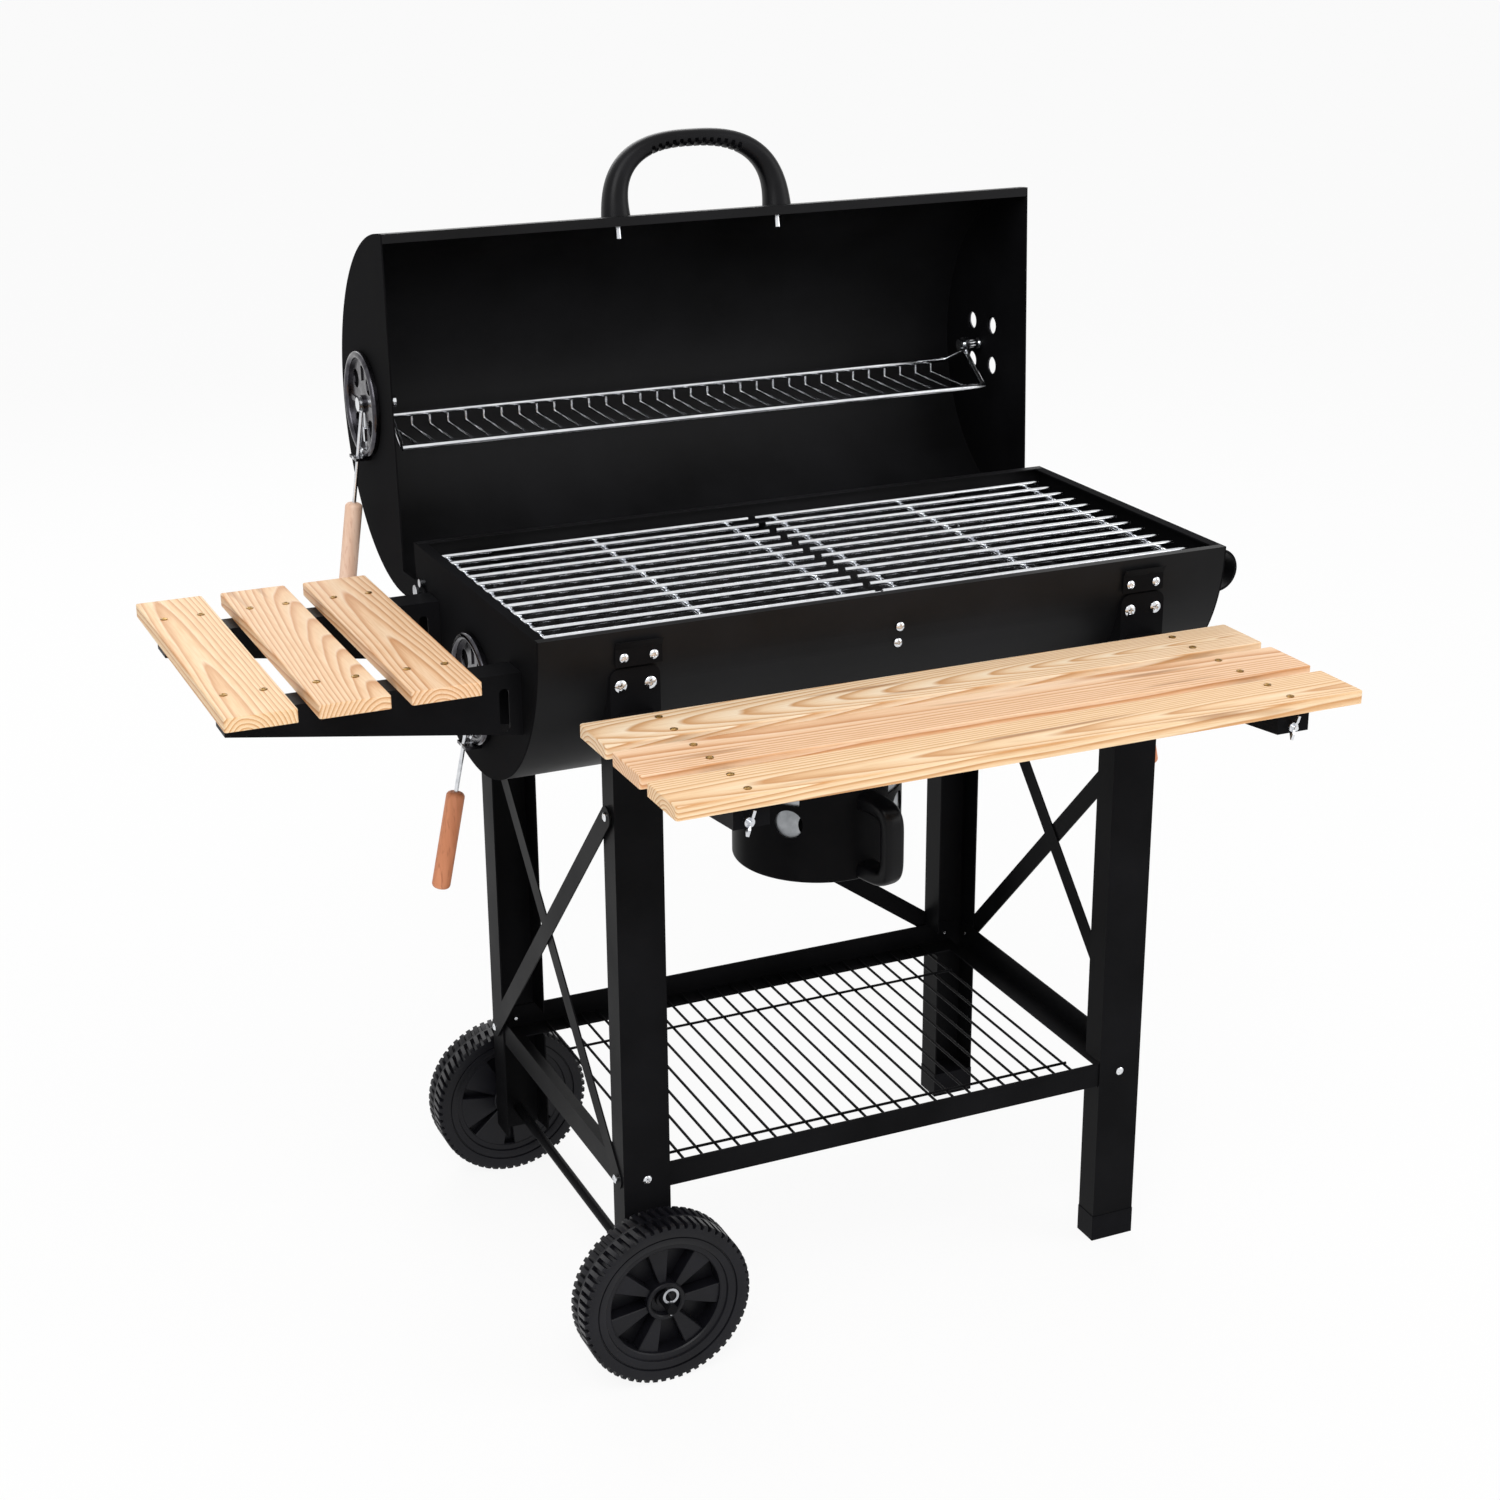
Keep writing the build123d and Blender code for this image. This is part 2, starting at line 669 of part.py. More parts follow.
# Legs: folded channels, saddled to the barrel, two on the axle and two on feet
leg_faces = {-1: front_leg_face, 1: rear_leg_face}
leg_depths = {-1: front_leg_depth, 1: rear_leg_depth}
leg_middles = {end: end * (leg_faces[end] - leg_depths[end] / 2) for end in (-1, 1)}
leg_places = (
    ("front_left_leg", -1, -1, axle_leg_end),
    ("front_right_leg", 1, -1, foot_sole),
    ("rear_left_leg", -1, 1, axle_leg_end),
    ("rear_right_leg", 1, 1, foot_sole),
)
for name, side, depth_side, low_z in leg_places:
    web_y = leg_middles[depth_side]
    leg_depth = leg_depths[depth_side]
    with BuildPart() as leg:
        with BuildSketch(level(low_z)):
            with Locations((side * leg_x, web_y)):
                Rectangle(leg_width, leg_depth)
            with Locations((side * leg_x, web_y - depth_side * leg_sheet)):
                Rectangle(leg_width - 2 * leg_sheet, leg_depth, mode=Mode.SUBTRACT)
        extrude(amount=leg_top - low_z)
        rounded_low = low_z if low_z == axle_leg_end else low_z - 2 * leg_corner
        with BuildSketch(facing(2 * barrel_radius)):
            with Locations((side * leg_x, (leg_top + rounded_low) / 2)):
                RectangleRounded(leg_width, leg_top - rounded_low, leg_corner)
        extrude(amount=4 * barrel_radius, mode=Mode.INTERSECT)
        with BuildSketch(across(-half_length)):
            with Locations((0, rim_z)):
                Circle(barrel_radius + running_gap)
        extrude(amount=barrel_length, mode=Mode.SUBTRACT)
        with BuildSketch(facing(2 * barrel_radius)):
            with Locations(*leg_screws):
                Circle(screw_hole_radius)
            with Locations((side * leg_x, brace_low_z)):
                Circle(bolt_hole_radius)
            if depth_side == 1:
                with Locations((-leg_x, brace_top_z)):
                    Circle(bolt_hole_radius)
            if side == -1:
                with Locations((-leg_x, wheel_radius)):
                    Circle(axle_radius + running_gap)
        extrude(amount=4 * barrel_radius, mode=Mode.SUBTRACT)
        with BuildSketch(across(side * (leg_x + leg_width / 2) - 2 * leg_sheet)):
            with Locations((web_y, brace_low_z), (web_y, brace_top_z)):
                Circle(bolt_hole_radius)
        extrude(amount=4 * leg_sheet, mode=Mode.SUBTRACT)
        with BuildSketch(across(side * (leg_x - leg_width / 2) - 2 * leg_sheet)):
            with Locations((web_y - depth_side * leg_sheet, rail_z + rail_size / 2)):
                Rectangle(leg_depth, rail_size + 2 * rail_notch)
        extrude(amount=4 * leg_sheet, mode=Mode.SUBTRACT)
    save(leg, name)

# Plastic feet pushed over the ends of the two right legs
with BuildPart() as foot_caps:
    for depth_side in (-1, 1):
        foot_y = leg_middles[depth_side]
        leg_depth = leg_depths[depth_side]
        with BuildSketch(level(0)):
            with Locations((leg_x, foot_y)):
                RectangleRounded(leg_width + 2 * foot_wall, leg_depth + 2 * foot_wall, foot_wall)
        extrude(amount=foot_height)
        with BuildSketch(level(foot_sole)):
            with Locations((leg_x, foot_y)):
                Rectangle(leg_width, leg_depth)
            with Locations((leg_x, foot_y - depth_side * leg_sheet)):
                Rectangle(leg_width - 2 * leg_sheet, leg_depth, mode=Mode.SUBTRACT)
        extrude(amount=foot_height, mode=Mode.SUBTRACT)
save(foot_caps, "foot_caps")

# Angle rails inside the legs, which carry the wire shelf
rail_faces = {end: leg_faces[end] - leg_sheet - contact for end in (-1, 1)}
rail_x = leg_x + leg_width / 2
side_rail_x = rail_x - leg_sheet - contact
rail_span = rail_faces[-1] + rail_faces[1]
for depth_side, name in ((-1, "front_rail"), (1, "back_rail")):
    rail_y = rail_faces[depth_side]
    with BuildPart() as long_rail:
        with BuildSketch(across(-leg_x - rail_end)):
            with Locations((depth_side * (rail_y - rail_sheet / 2), rail_z + rail_size / 2)):
                Rectangle(rail_sheet, rail_size)
            with Locations((depth_side * (rail_y - rail_size / 2), rail_z + rail_sheet / 2)):
                Rectangle(rail_size, rail_sheet)
        extrude(amount=2 * (leg_x + rail_end))
        with BuildSketch(facing(2 * barrel_radius)):
            with Locations((-leg_x, brace_low_z), (leg_x, brace_low_z)):
                Circle(bolt_hole_radius)
        extrude(amount=4 * barrel_radius, mode=Mode.SUBTRACT)
    save(long_rail, name)
for side, name in ((-1, "left_rail"), (1, "right_rail")):
    with BuildPart() as side_rail:
        with BuildSketch(facing(rail_faces[1] - 2 * rail_sheet)):
            with Locations((side * (side_rail_x - rail_sheet / 2), rail_z + rail_size / 2)):
                Rectangle(rail_sheet, rail_size)
        extrude(amount=rail_span - 4 * rail_sheet)
        with BuildSketch(facing(rail_faces[1] - rail_size - contact)):
            with Locations((side * (side_rail_x - rail_size / 2), rail_z + rail_sheet / 2)):
                Rectangle(rail_size, rail_sheet)
        extrude(amount=rail_span - 2 * (rail_size + contact))
        with BuildSketch(across(side * side_rail_x - 2 * rail_sheet)):
            with Locations((leg_middles[-1], brace_low_z), (leg_middles[1], brace_low_z)):
                Circle(bolt_hole_radius)
        extrude(amount=4 * rail_sheet, mode=Mode.SUBTRACT)
    save(side_rail, name)

# Wire shelf lying on the rails
with BuildPart() as wire_shelf:
    wire_z = rail_z + rail_sheet + shelf_wire_radius
    for index in range(shelf_wire_count):
        x = (2 * index / (shelf_wire_count - 1) - 1) * shelf_half_length
        add(rod(place(x, -shelf_front, wire_z), place(x, shelf_back, wire_z), shelf_wire_radius))
    cross_wire_z = wire_z + 2 * shelf_wire_radius - weld
    for y in shelf_cross_wires:
        start = place(-shelf_half_length - shelf_wire_radius, y, cross_wire_z)
        add(rod(start, place(shelf_half_length + shelf_wire_radius, y, cross_wire_z), shelf_wire_radius))
save(wire_shelf, "wire_shelf")


def brace(plane, low_end, high_end):
    """Flat bar with round ends and a bolt hole at each end, lying on a plane."""
    reach = hypot(high_end[0] - low_end[0], high_end[1] - low_end[1])
    tilt = degrees(atan2(high_end[1] - low_end[1], high_end[0] - low_end[0]))
    middle = ((low_end[0] + high_end[0]) / 2, (low_end[1] + high_end[1]) / 2)
    with BuildPart() as bar:
        with BuildSketch(plane):
            with Locations(middle):
                SlotCenterToCenter(reach, brace_width, rotation=tilt)
            with Locations(low_end, high_end):
                Circle(bolt_hole_radius, mode=Mode.SUBTRACT)
        extrude(amount=brace_sheet)
    return bar.part


# Crossed braces on the outer sides of the legs, and one long brace across the back
for side, name in ((-1, "left_braces"), (1, "right_braces")):
    with BuildPart() as braces:
        for layer, low_side in ((0, -1), (1, 1)):
            inner_x = rail_x + layer * brace_sheet
            start_x = side * inner_x if side == 1 else side * (inner_x + brace_sheet)
            low_end = (leg_middles[low_side], brace_low_z)
            add(brace(across(start_x), low_end, (leg_middles[-low_side], brace_top_z)))
    save(braces, name)
with BuildPart() as back_brace:
    add(brace(facing(rear_leg_face + brace_sheet), (leg_x, brace_low_z), (-leg_x, brace_top_z)))
save(back_brace, "back_brace")

# Axle through the left legs, with a washer and a hairpin clip outside each wheel
wheel_faces = {-1: -front_wheel_outer, 1: rear_wheel_outer}
clip_places = {end: wheel_faces[end] + end * axle_overhang / 2 for end in (-1, 1)}
with BuildPart() as axle:
    axle_front = place(-leg_x, -front_wheel_outer - axle_overhang, wheel_radius)
    add(rod(axle_front, place(-leg_x, rear_wheel_outer + axle_overhang, wheel_radius), axle_radius))
    for side in (-1, 1):
        low = place(-leg_x, clip_places[side], wheel_radius - 2 * axle_radius)
        high = place(-leg_x, clip_places[side], wheel_radius + 2 * axle_radius)
        hole = rod(low, high, clip_radius + running_gap)
        add(hole, mode=Mode.SUBTRACT)
save(axle, "axle")

with BuildPart() as axle_clips:
    for side in (-1, 1):
        clip_place = place(-leg_x, clip_places[side], wheel_radius)
        up = Vector(0, 0, 1)
        add(rod(clip_place - up * clip_leg, clip_place + up * clip_leg, clip_radius))
        with BuildSketch(facing(clip_places[side] + clip_sheet / 2)):
            with Locations((-leg_x, wheel_radius + axle_radius + clip_loop)):
                Circle(clip_loop)
                Circle(clip_loop - 2 * clip_radius, mode=Mode.SUBTRACT)
        extrude(amount=clip_sheet)
        leg_side = side * (leg_faces[side] + contact)
        wheel_side = wheel_faces[side] - side * (wheel_width + seat_gap)
        with BuildSketch(facing(max(leg_side, wheel_side))):
            with Locations((-leg_x, wheel_radius)):
                Circle(2 * axle_radius)
                Circle(axle_radius + running_gap, mode=Mode.SUBTRACT)
        extrude(amount=abs(wheel_side - leg_side))
save(axle_clips, "axle_clips")

# Moulded wheels, free on the axle: spokes in the outer half, wider ones in the gaps behind them
spoke_length = wheel_radius - wheel_rim
half_pitch = 180 / wheel_spokes
for side, name in ((-1, "front_wheel"), (1, "rear_wheel")):
    outer_y = wheel_faces[side]
    back_y = max(outer_y, outer_y - side * wheel_width)
    spoke_back = back_y - (wheel_width - spoke_width) / 2
    with BuildPart() as wheel:
        with BuildSketch(facing(back_y)):
            with Locations((-leg_x, wheel_radius)):
                Circle(wheel_radius)
                Circle(wheel_radius - wheel_rim, mode=Mode.SUBTRACT)
                Circle(wheel_hub_radius)
        extrude(amount=wheel_width)
        circles = wheel.edges().filter_by(GeomType.CIRCLE)
        chamfer(circles.filter_by(lambda edge: edge.radius == wheel_radius), wheel_chamfer)
        for layer, layer_side in ((0, 1), (1, -1)):
            if layer_side == side:
                rim_width, side_angle, first_angle = spoke_rim_width, spoke_side_angle, 90
            else:
                rim_width, side_angle, first_angle = wedge_rim_width, wedge_side_angle, 90 + half_pitch
            with BuildSketch(facing(spoke_back - layer * spoke_width / 2)):
                with Locations((-leg_x, wheel_radius)):
                    with PolarLocations(0, wheel_spokes, start_angle=first_angle):
                        with Locations((wheel_radius / 2, 0)):
                            Trapezoid(rim_width, spoke_length, side_angle, rotation=90)
            extrude(amount=spoke_width / 2)
        with BuildSketch(facing(back_y)):
            with Locations((-leg_x, wheel_radius)):
                Circle(axle_radius + running_gap)
        extrude(amount=wheel_width, mode=Mode.SUBTRACT)
    save(wheel, name)

# Planks of the two tables, each with a screw through it into both arms
front_plank_y = [-(front_plank_back + plank_width / 2 + index * front_plank_pitch) for index in range(3)]
side_plank_x = [-(side_plank_near + plank_width / 2 + index * side_plank_pitch) for index in range(3)]
front_screws = [
    (side * front_arm_x, y + step)
    for y in front_plank_y
    for side in (-1, 1)
    for step in (-plank_screw_spread, plank_screw_spread)
]
side_screws = [
    (x + step, side * side_arm_y)
    for x in side_plank_x
    for side in (-1, 1)
    for step in (-plank_screw_spread, plank_screw_spread)
]
plank_places = [
    (f"front_plank_{index + 1}", (0, y), (front_plank_length, plank_width), front_table_z, front_screws)
    for index, y in enumerate(front_plank_y)
]
plank_places += [
    (f"side_plank_{index + 1}", (x, 0), (plank_width, side_plank_length), side_table_z, side_screws)
    for index, x in enumerate(side_plank_x)
]
for name, middle, size, top_z, screws in plank_places:
    with BuildPart() as plank:
        with BuildSketch(level(top_z - plank_thickness)):
            with Locations(middle):
                RectangleRounded(*size, plank_round)
        extrude(amount=plank_thickness)
        fillet(plank.faces().sort_by(Axis.Z)[-1].edges(), plank_round / 2)
        with BuildSketch(level(top_z - plank_thickness)):
            with Locations(*screws):
                Circle(plank_screw_radius + running_gap)
        extrude(amount=plank_thickness, mode=Mode.SUBTRACT)
    save(plank, name)

with BuildPart() as plank_screws_group:
    for top_z, screws in ((front_table_z, front_screws), (side_table_z, side_screws)):
        with BuildSketch(level(top_z - plank_thickness - plank_screw_tail)):
            with Locations(*screws):
                Circle(plank_screw_radius)
        extrude(amount=plank_thickness + plank_screw_tail)
        with BuildSketch(level(top_z)):
            with Locations(*screws):
                Circle(plank_screw_head)
        extrude(amount=plank_screw_dome, taper=plank_screw_taper)
save(plank_screws_group, "plank_screws")

# Arms under the tables: folded channels, open below, deeper at the barrel
front_arm_z = front_table_z - plank_thickness
for side, name in ((-1, "front_left_arm"), (1, "front_right_arm")):
    outer_x = side * front_arm_x - arm_width / 2
    root = -front_leg_face - contact
    with BuildPart() as front_arm:
        with BuildSketch(across(outer_x)):
            with BuildLine():
                Polyline(
                    (root, front_arm_z),
                    (-front_arm_reach, front_arm_z),
                    (-front_arm_reach, front_arm_z - front_arm_tip_depth),
                    (root, front_arm_z - front_arm_root_depth),
                    close=True,
                )
            make_face()
        extrude(amount=arm_width)
        with BuildSketch(across(outer_x + arm_sheet)):
            with BuildLine():
                Polyline(
                    (root - arm_sheet, front_arm_z - arm_sheet),
                    (arm_sheet - front_arm_reach, front_arm_z - arm_sheet),
                    (arm_sheet - front_arm_reach, front_arm_z - front_arm_root_depth),
                    (root - arm_sheet, front_arm_z - front_arm_root_depth),
                    close=True,
                )
            make_face()
        extrude(amount=arm_width - 2 * arm_sheet, mode=Mode.SUBTRACT)
        with BuildSketch(level(front_arm_z - 2 * arm_sheet)):
            with Locations(*front_screws):
                Circle(plank_screw_radius + running_gap)
        extrude(amount=3 * arm_sheet, mode=Mode.SUBTRACT)
        with BuildSketch(facing(-front_arm_reach + 3 * arm_sheet)):
            with Locations((side * front_arm_x + front_wing_shift, front_arm_z - front_wing_drop)):
                Circle(screw_hole_radius)
        extrude(amount=6 * arm_sheet, mode=Mode.SUBTRACT)
    save(front_arm, name)

side_arm_z = side_table_z - plank_thickness
for side, name in ((-1, "side_front_arm"), (1, "side_rear_arm")):
    back_y = side * side_arm_y + arm_width / 2
    root = -half_length - contact
    with BuildPart() as side_arm:
        with BuildSketch(facing(back_y)):
            with BuildLine():
                Polyline(
                    (root, side_arm_z),
                    (-side_arm_reach, side_arm_z),
                    (-side_arm_reach, side_arm_z - side_arm_tip_depth),
                    (root, side_arm_z - side_arm_root_depth),
                    close=True,
                )
            make_face()
        extrude(amount=arm_width)
        with BuildSketch(facing(back_y - arm_sheet)):
            with BuildLine():
                Polyline(
                    (root - arm_sheet, side_arm_z - arm_sheet),
                    (arm_sheet - side_arm_reach, side_arm_z - arm_sheet),
                    (arm_sheet - side_arm_reach, side_arm_z - side_arm_root_depth),
                    (root - arm_sheet, side_arm_z - side_arm_root_depth),
                    close=True,
                )
            make_face()
        extrude(amount=arm_width - 2 * arm_sheet, mode=Mode.SUBTRACT)
        with BuildSketch(level(side_arm_z - 2 * arm_sheet)):
            with Locations(*side_screws):
                Circle(plank_screw_radius + running_gap)
        extrude(amount=3 * arm_sheet, mode=Mode.SUBTRACT)
        with BuildSketch(facing(back_y + arm_sheet)):
            with Locations((-arm_slot_x, arm_slot_z)):
                SlotOverall(arm_slot_height, arm_slot_width, rotation=90)
        extrude(amount=arm_width + 2 * arm_sheet, mode=Mode.SUBTRACT)
    save(side_arm, name)


def wing_nut(seat, way, spread):
    """Wing nut with its bolt: seat lies on the arm, way points out, spread is along the wings."""
    with BuildPart() as nut:
        add(rod(seat - way * wing_tail, seat + way * (wing_hub_height + wing_tail), screw_radius))
        add(rod(seat, seat + way * wing_hub_height, wing_hub_radius))
        wing_plane = Plane(origin=seat + way * 2, x_dir=spread, z_dir=spread.cross(way))
        with BuildSketch(wing_plane.offset(-wing_sheet / 2)):
            for end in (-1, 1):
                with BuildLine():
                    Polyline(
                        (0, 0),
                        (end * wing_span / 2, wing_height - 5),
                        (end * wing_span / 2, wing_hub_height + 1),
                        (end * wing_span / 4, wing_hub_height + 1),
                        (0, wing_hub_height - 3),
                        close=True,
                    )
                make_face()
        extrude(amount=wing_sheet)
    return nut.part


with BuildPart() as wing_nuts:
    for side in (-1, 1):
        wing_x = side * front_arm_x + front_wing_shift
        seat = place(wing_x, -front_arm_reach, front_arm_z - front_wing_drop)
        add(wing_nut(seat, Vector(0, -1, 0), Vector(0.3, 0, 0.954)))
save(wing_nuts, "wing_nuts")

# Empty strap brackets on the right end, mates of the places where the side table's arms sit
with BuildPart() as strap_brackets:
    loop_radius = loop_height / 2
    straight = loop_reach - loop_radius
    loop_x = half_length + loop_reach
    for side in (-1, 1):
        with BuildSketch(facing(side * side_arm_y + loop_width / 2)):
            with BuildLine():
                Line((half_length, loop_top_z), (half_length + straight, loop_top_z))
                ThreePointArc(
                    (half_length + straight, loop_top_z),
                    (loop_x, loop_top_z - loop_radius),
                    (half_length + straight, loop_top_z - loop_height),
                )
                Polyline(
                    (half_length + straight, loop_top_z - loop_height),
                    (half_length, loop_top_z - loop_height),
                    (half_length, loop_top_z),
                )
            make_face()
            with Locations((half_length + straight / 2, loop_top_z - loop_radius)):
                Rectangle(straight, loop_height - 2 * loop_sheet, mode=Mode.SUBTRACT)
            with Locations((half_length + straight, loop_top_z - loop_radius)):
                Circle(loop_radius - loop_sheet, mode=Mode.SUBTRACT)
        extrude(amount=loop_width)
save(strap_brackets, "strap_brackets")

# Bent plates on the front and back walls, which clamp the grate brackets
with BuildPart() as clamp_plates:
    plate_in = barrel_radius + contact
    for side in (-1, 1):
        for x in (bracket_x[0], bracket_x[2]):
            with BuildSketch(across(x - plate_width / 2)):
                with BuildLine():
                    Polyline(
                        (side * plate_in, plate_low_z),
                        (side * plate_in, plate_bend_z),
                        (side * (plate_in + plate_lean), plate_top_z),
                        (side * (plate_in + plate_lean + plate_sheet), plate_top_z),
                        (side * (plate_in + plate_sheet), plate_bend_z),
                        (side * (plate_in + plate_sheet), plate_low_z),
                        close=True,
                    )
                make_face()
            extrude(amount=plate_width)
    with BuildSketch(facing(2 * barrel_radius)):
        with Locations(*plate_screws):
            Circle(screw_hole_radius)
    extrude(amount=4 * barrel_radius, mode=Mode.SUBTRACT)
save(clamp_plates, "clamp_plates")


def screw(head, way, reach, shank, head_radius):
    """Screw with a domed head: head is where the head lies, way points out of the work."""
    with BuildPart() as piece:
        add(rod(head - way * reach, head + way * (head_height / 2), shank))
        with BuildSketch(Plane(origin=head, z_dir=way)):
            Circle(head_radius)
        extrude(amount=head_height)
        dome = piece.edges().filter_by(GeomType.CIRCLE).filter_by(lambda edge: edge.radius == head_radius)
        fillet(dome.sort_by(Axis(head, way))[-1], head_height - dome_land)
    return piece.part


# Screws of the barrel: leg tops, clamp plates and the middle brackets, front and back
with BuildPart() as barrel_screws:
    for side, leg_reach in ((-1, wall_screw_reach), (1, rear_screw_reach)):
        way = Vector(0, side, 0)
        for x, z in leg_screws:
            head = place(x, side * leg_faces[side], z)
            add(screw(head, way, leg_reach, screw_radius, large_head))
        for x, z in plate_screws:
            head = place(x, side * (plate_in + plate_sheet), z)
            add(screw(head, way, wall_screw_reach, screw_radius, small_head))
        for x, z in centre_screws:
            wall_y = sqrt(barrel_radius**2 - (rim_z - z) ** 2)
            head_y = wall_y + small_head / 3
            head = place(x, side * head_y, z)
            add(screw(head, way, wall_screw_reach, screw_radius, small_head))
save(barrel_screws, "barrel_screws")

# Bolts of the cart frame: shelf rails and braces
with BuildPart() as frame_bolts:
    for side in (-1, 1):
        for x in (-leg_x, leg_x):
            layer = brace_sheet if side == 1 and x == leg_x else 0
            head = place(x, side * (leg_faces[side] + layer), brace_low_z)
            add(screw(head, Vector(0, side, 0), rail_bolt_reach, bolt_radius, small_head))
        for depth_side in (-1, 1):
            for z in (brace_low_z, brace_top_z):
                head = place(side * (rail_x + 2 * brace_sheet), leg_middles[depth_side], z)
                add(screw(head, Vector(side, 0, 0), brace_bolt_reach, bolt_radius, small_head))
    head = place(-leg_x, rear_leg_face + brace_sheet, brace_top_z)
    add(screw(head, Vector(0, 1, 0), brace_bolt_reach, bolt_radius, small_head))
save(frame_bolts, "frame_bolts")

# Sleeve under the barrel that the ash cup turns on, with air holes and bayonet pins
cup_axis = Axis((barrel_x, barrel_y, 0), (0, 0, 1))
with BuildPart() as ash_sleeve:
    with BuildSketch(level(sleeve_low_z)):
        Circle(sleeve_radius)
        Circle(sleeve_radius - sleeve_wall, mode=Mode.SUBTRACT)
    extrude(amount=rim_z - barrel_radius / 2 - sleeve_low_z)
    with BuildSketch(across(-half_length)):
        with Locations((0, rim_z)):
            Circle(barrel_radius + running_gap)
    extrude(amount=barrel_length, mode=Mode.SUBTRACT)
    for index in range(air_holes):
        turn = radians(sleeve_hole_angle + index * 360 / air_holes)
        middle = place(0, 0, air_hole_z)
        hole = rod(middle, middle + Vector(cos(turn), sin(turn), 0) * 2 * cup_radius, air_hole_radius)
        add(hole, mode=Mode.SUBTRACT)
    for angle in bayonet_angles:
        way = Vector(cos(radians(angle)), sin(radians(angle)), 0)
        middle = place(0, 0, bayonet_z)
        pin_start = middle + way * (sleeve_radius - sleeve_wall / 2)
        add(rod(pin_start, middle + way * (cup_radius + bayonet_reach), bayonet_radius))
save(ash_sleeve, "ash_sleeve")

with BuildPart() as ash_cup:
    with BuildSketch(level(cup_low_z)):
        Circle(cup_radius)
    extrude(amount=cup_top_z - cup_low_z)
    fillet(ash_cup.faces().sort_by(Axis.Z)[0].edges(), cup_round)
    offset(amount=-cup_wall, openings=ash_cup.faces().sort_by(Axis.Z)[-1])
    for index in range(air_holes):
        turn = radians(cup_hole_angle + index * 360 / air_holes)
        middle = place(0, 0, air_hole_z)
        hole = rod(middle, middle + Vector(cos(turn), sin(turn), 0) * 2 * cup_radius, air_hole_radius)
        add(hole, mode=Mode.SUBTRACT)
    slot_height = 2 * (bayonet_radius + bayonet_room)
    for angle in bayonet_angles:
        with BuildSketch(upright(angle + bayonet_slot[0])):
            with Locations((cup_radius, bayonet_z)):
                Rectangle(8 * cup_wall, slot_height)
        revolve(axis=cup_axis, revolution_arc=bayonet_slot[1] - bayonet_slot[0], mode=Mode.SUBTRACT)
        with BuildSketch(upright(angle + bayonet_slot[0])):
            with Locations((cup_radius, cup_top_z)):
                Rectangle(8 * cup_wall, 2 * (cup_top_z - bayonet_z))
        revolve(axis=cup_axis, revolution_arc=bayonet_entry, mode=Mode.SUBTRACT)
save(ash_cup, "ash_cup")

# Handle of the ash cup: an upright arch of round bar
with BuildPart() as ash_cup_handle:
    cup_handle_plane = upright(cup_handle_angle)
    with BuildLine(cup_handle_plane) as cup_arch:
        FilletPolyline(
            (cup_radius - cup_handle_root, cup_handle_high_z),
            (cup_radius + cup_handle_out, cup_handle_high_z),
            (cup_radius + cup_handle_out, cup_handle_low_z),
            (cup_radius - cup_handle_root, cup_handle_low_z),
            radius=cup_handle_bend,
        )
    with BuildSketch(Plane(origin=cup_arch.line @ 0, z_dir=cup_arch.line % 0)):
        Circle(cup_handle_radius)
    sweep(path=cup_arch.line)
    with BuildSketch(level(sleeve_low_z - cup_radius)):
        Circle(cup_radius + running_gap)
    extrude(amount=2 * cup_top_z, mode=Mode.SUBTRACT)
save(ash_cup_handle, "ash_cup_handle")
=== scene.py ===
"""Looks of the barrel charcoal grill on its cart: finishes, moulded pieces, light and camera."""

import json
import logging
import math
from dataclasses import dataclass, replace
from enum import Enum

import bmesh
import bpy
import numpy as np
from mathutils import Euler, Matrix, Vector

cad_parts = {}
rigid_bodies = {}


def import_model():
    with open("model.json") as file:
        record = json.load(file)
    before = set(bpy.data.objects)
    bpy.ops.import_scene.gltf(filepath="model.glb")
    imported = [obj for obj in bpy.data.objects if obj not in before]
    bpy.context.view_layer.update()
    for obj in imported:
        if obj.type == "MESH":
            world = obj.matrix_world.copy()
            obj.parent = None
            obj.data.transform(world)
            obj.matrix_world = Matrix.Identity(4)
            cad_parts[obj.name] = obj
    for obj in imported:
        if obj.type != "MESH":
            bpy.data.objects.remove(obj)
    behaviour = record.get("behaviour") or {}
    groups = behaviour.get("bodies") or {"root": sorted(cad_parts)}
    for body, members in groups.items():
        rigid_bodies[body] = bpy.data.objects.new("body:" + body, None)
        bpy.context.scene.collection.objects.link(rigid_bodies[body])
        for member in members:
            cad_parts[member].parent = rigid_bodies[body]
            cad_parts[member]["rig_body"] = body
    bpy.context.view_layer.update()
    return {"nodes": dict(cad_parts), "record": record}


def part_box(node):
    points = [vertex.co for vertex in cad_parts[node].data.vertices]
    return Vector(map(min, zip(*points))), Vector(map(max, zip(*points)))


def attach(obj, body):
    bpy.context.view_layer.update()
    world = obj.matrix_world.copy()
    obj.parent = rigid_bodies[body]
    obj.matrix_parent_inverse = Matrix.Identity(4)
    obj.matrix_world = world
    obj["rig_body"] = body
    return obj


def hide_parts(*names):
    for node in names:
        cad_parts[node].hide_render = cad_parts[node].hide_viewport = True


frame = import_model()

MM = 0.001
WELD = 1e-7
# A wave texture of scale 1 runs through 20 radians in a metre
WAVE_SCALE = 2 * math.pi / 20
log = logging.getLogger("grill")

Socket = bpy.types.NodeSocket
Tree = bpy.types.NodeTree
Colour = tuple[float, float, float, float]
Span = tuple[float, float]
Triple = tuple[float, float, float]
Shell = tuple[np.ndarray, np.ndarray]


class Grain(Enum):
    """The row axis that a board's or a grip's grain runs along."""

    X = 0
    Y = 1
    Z = 2


# Small tools


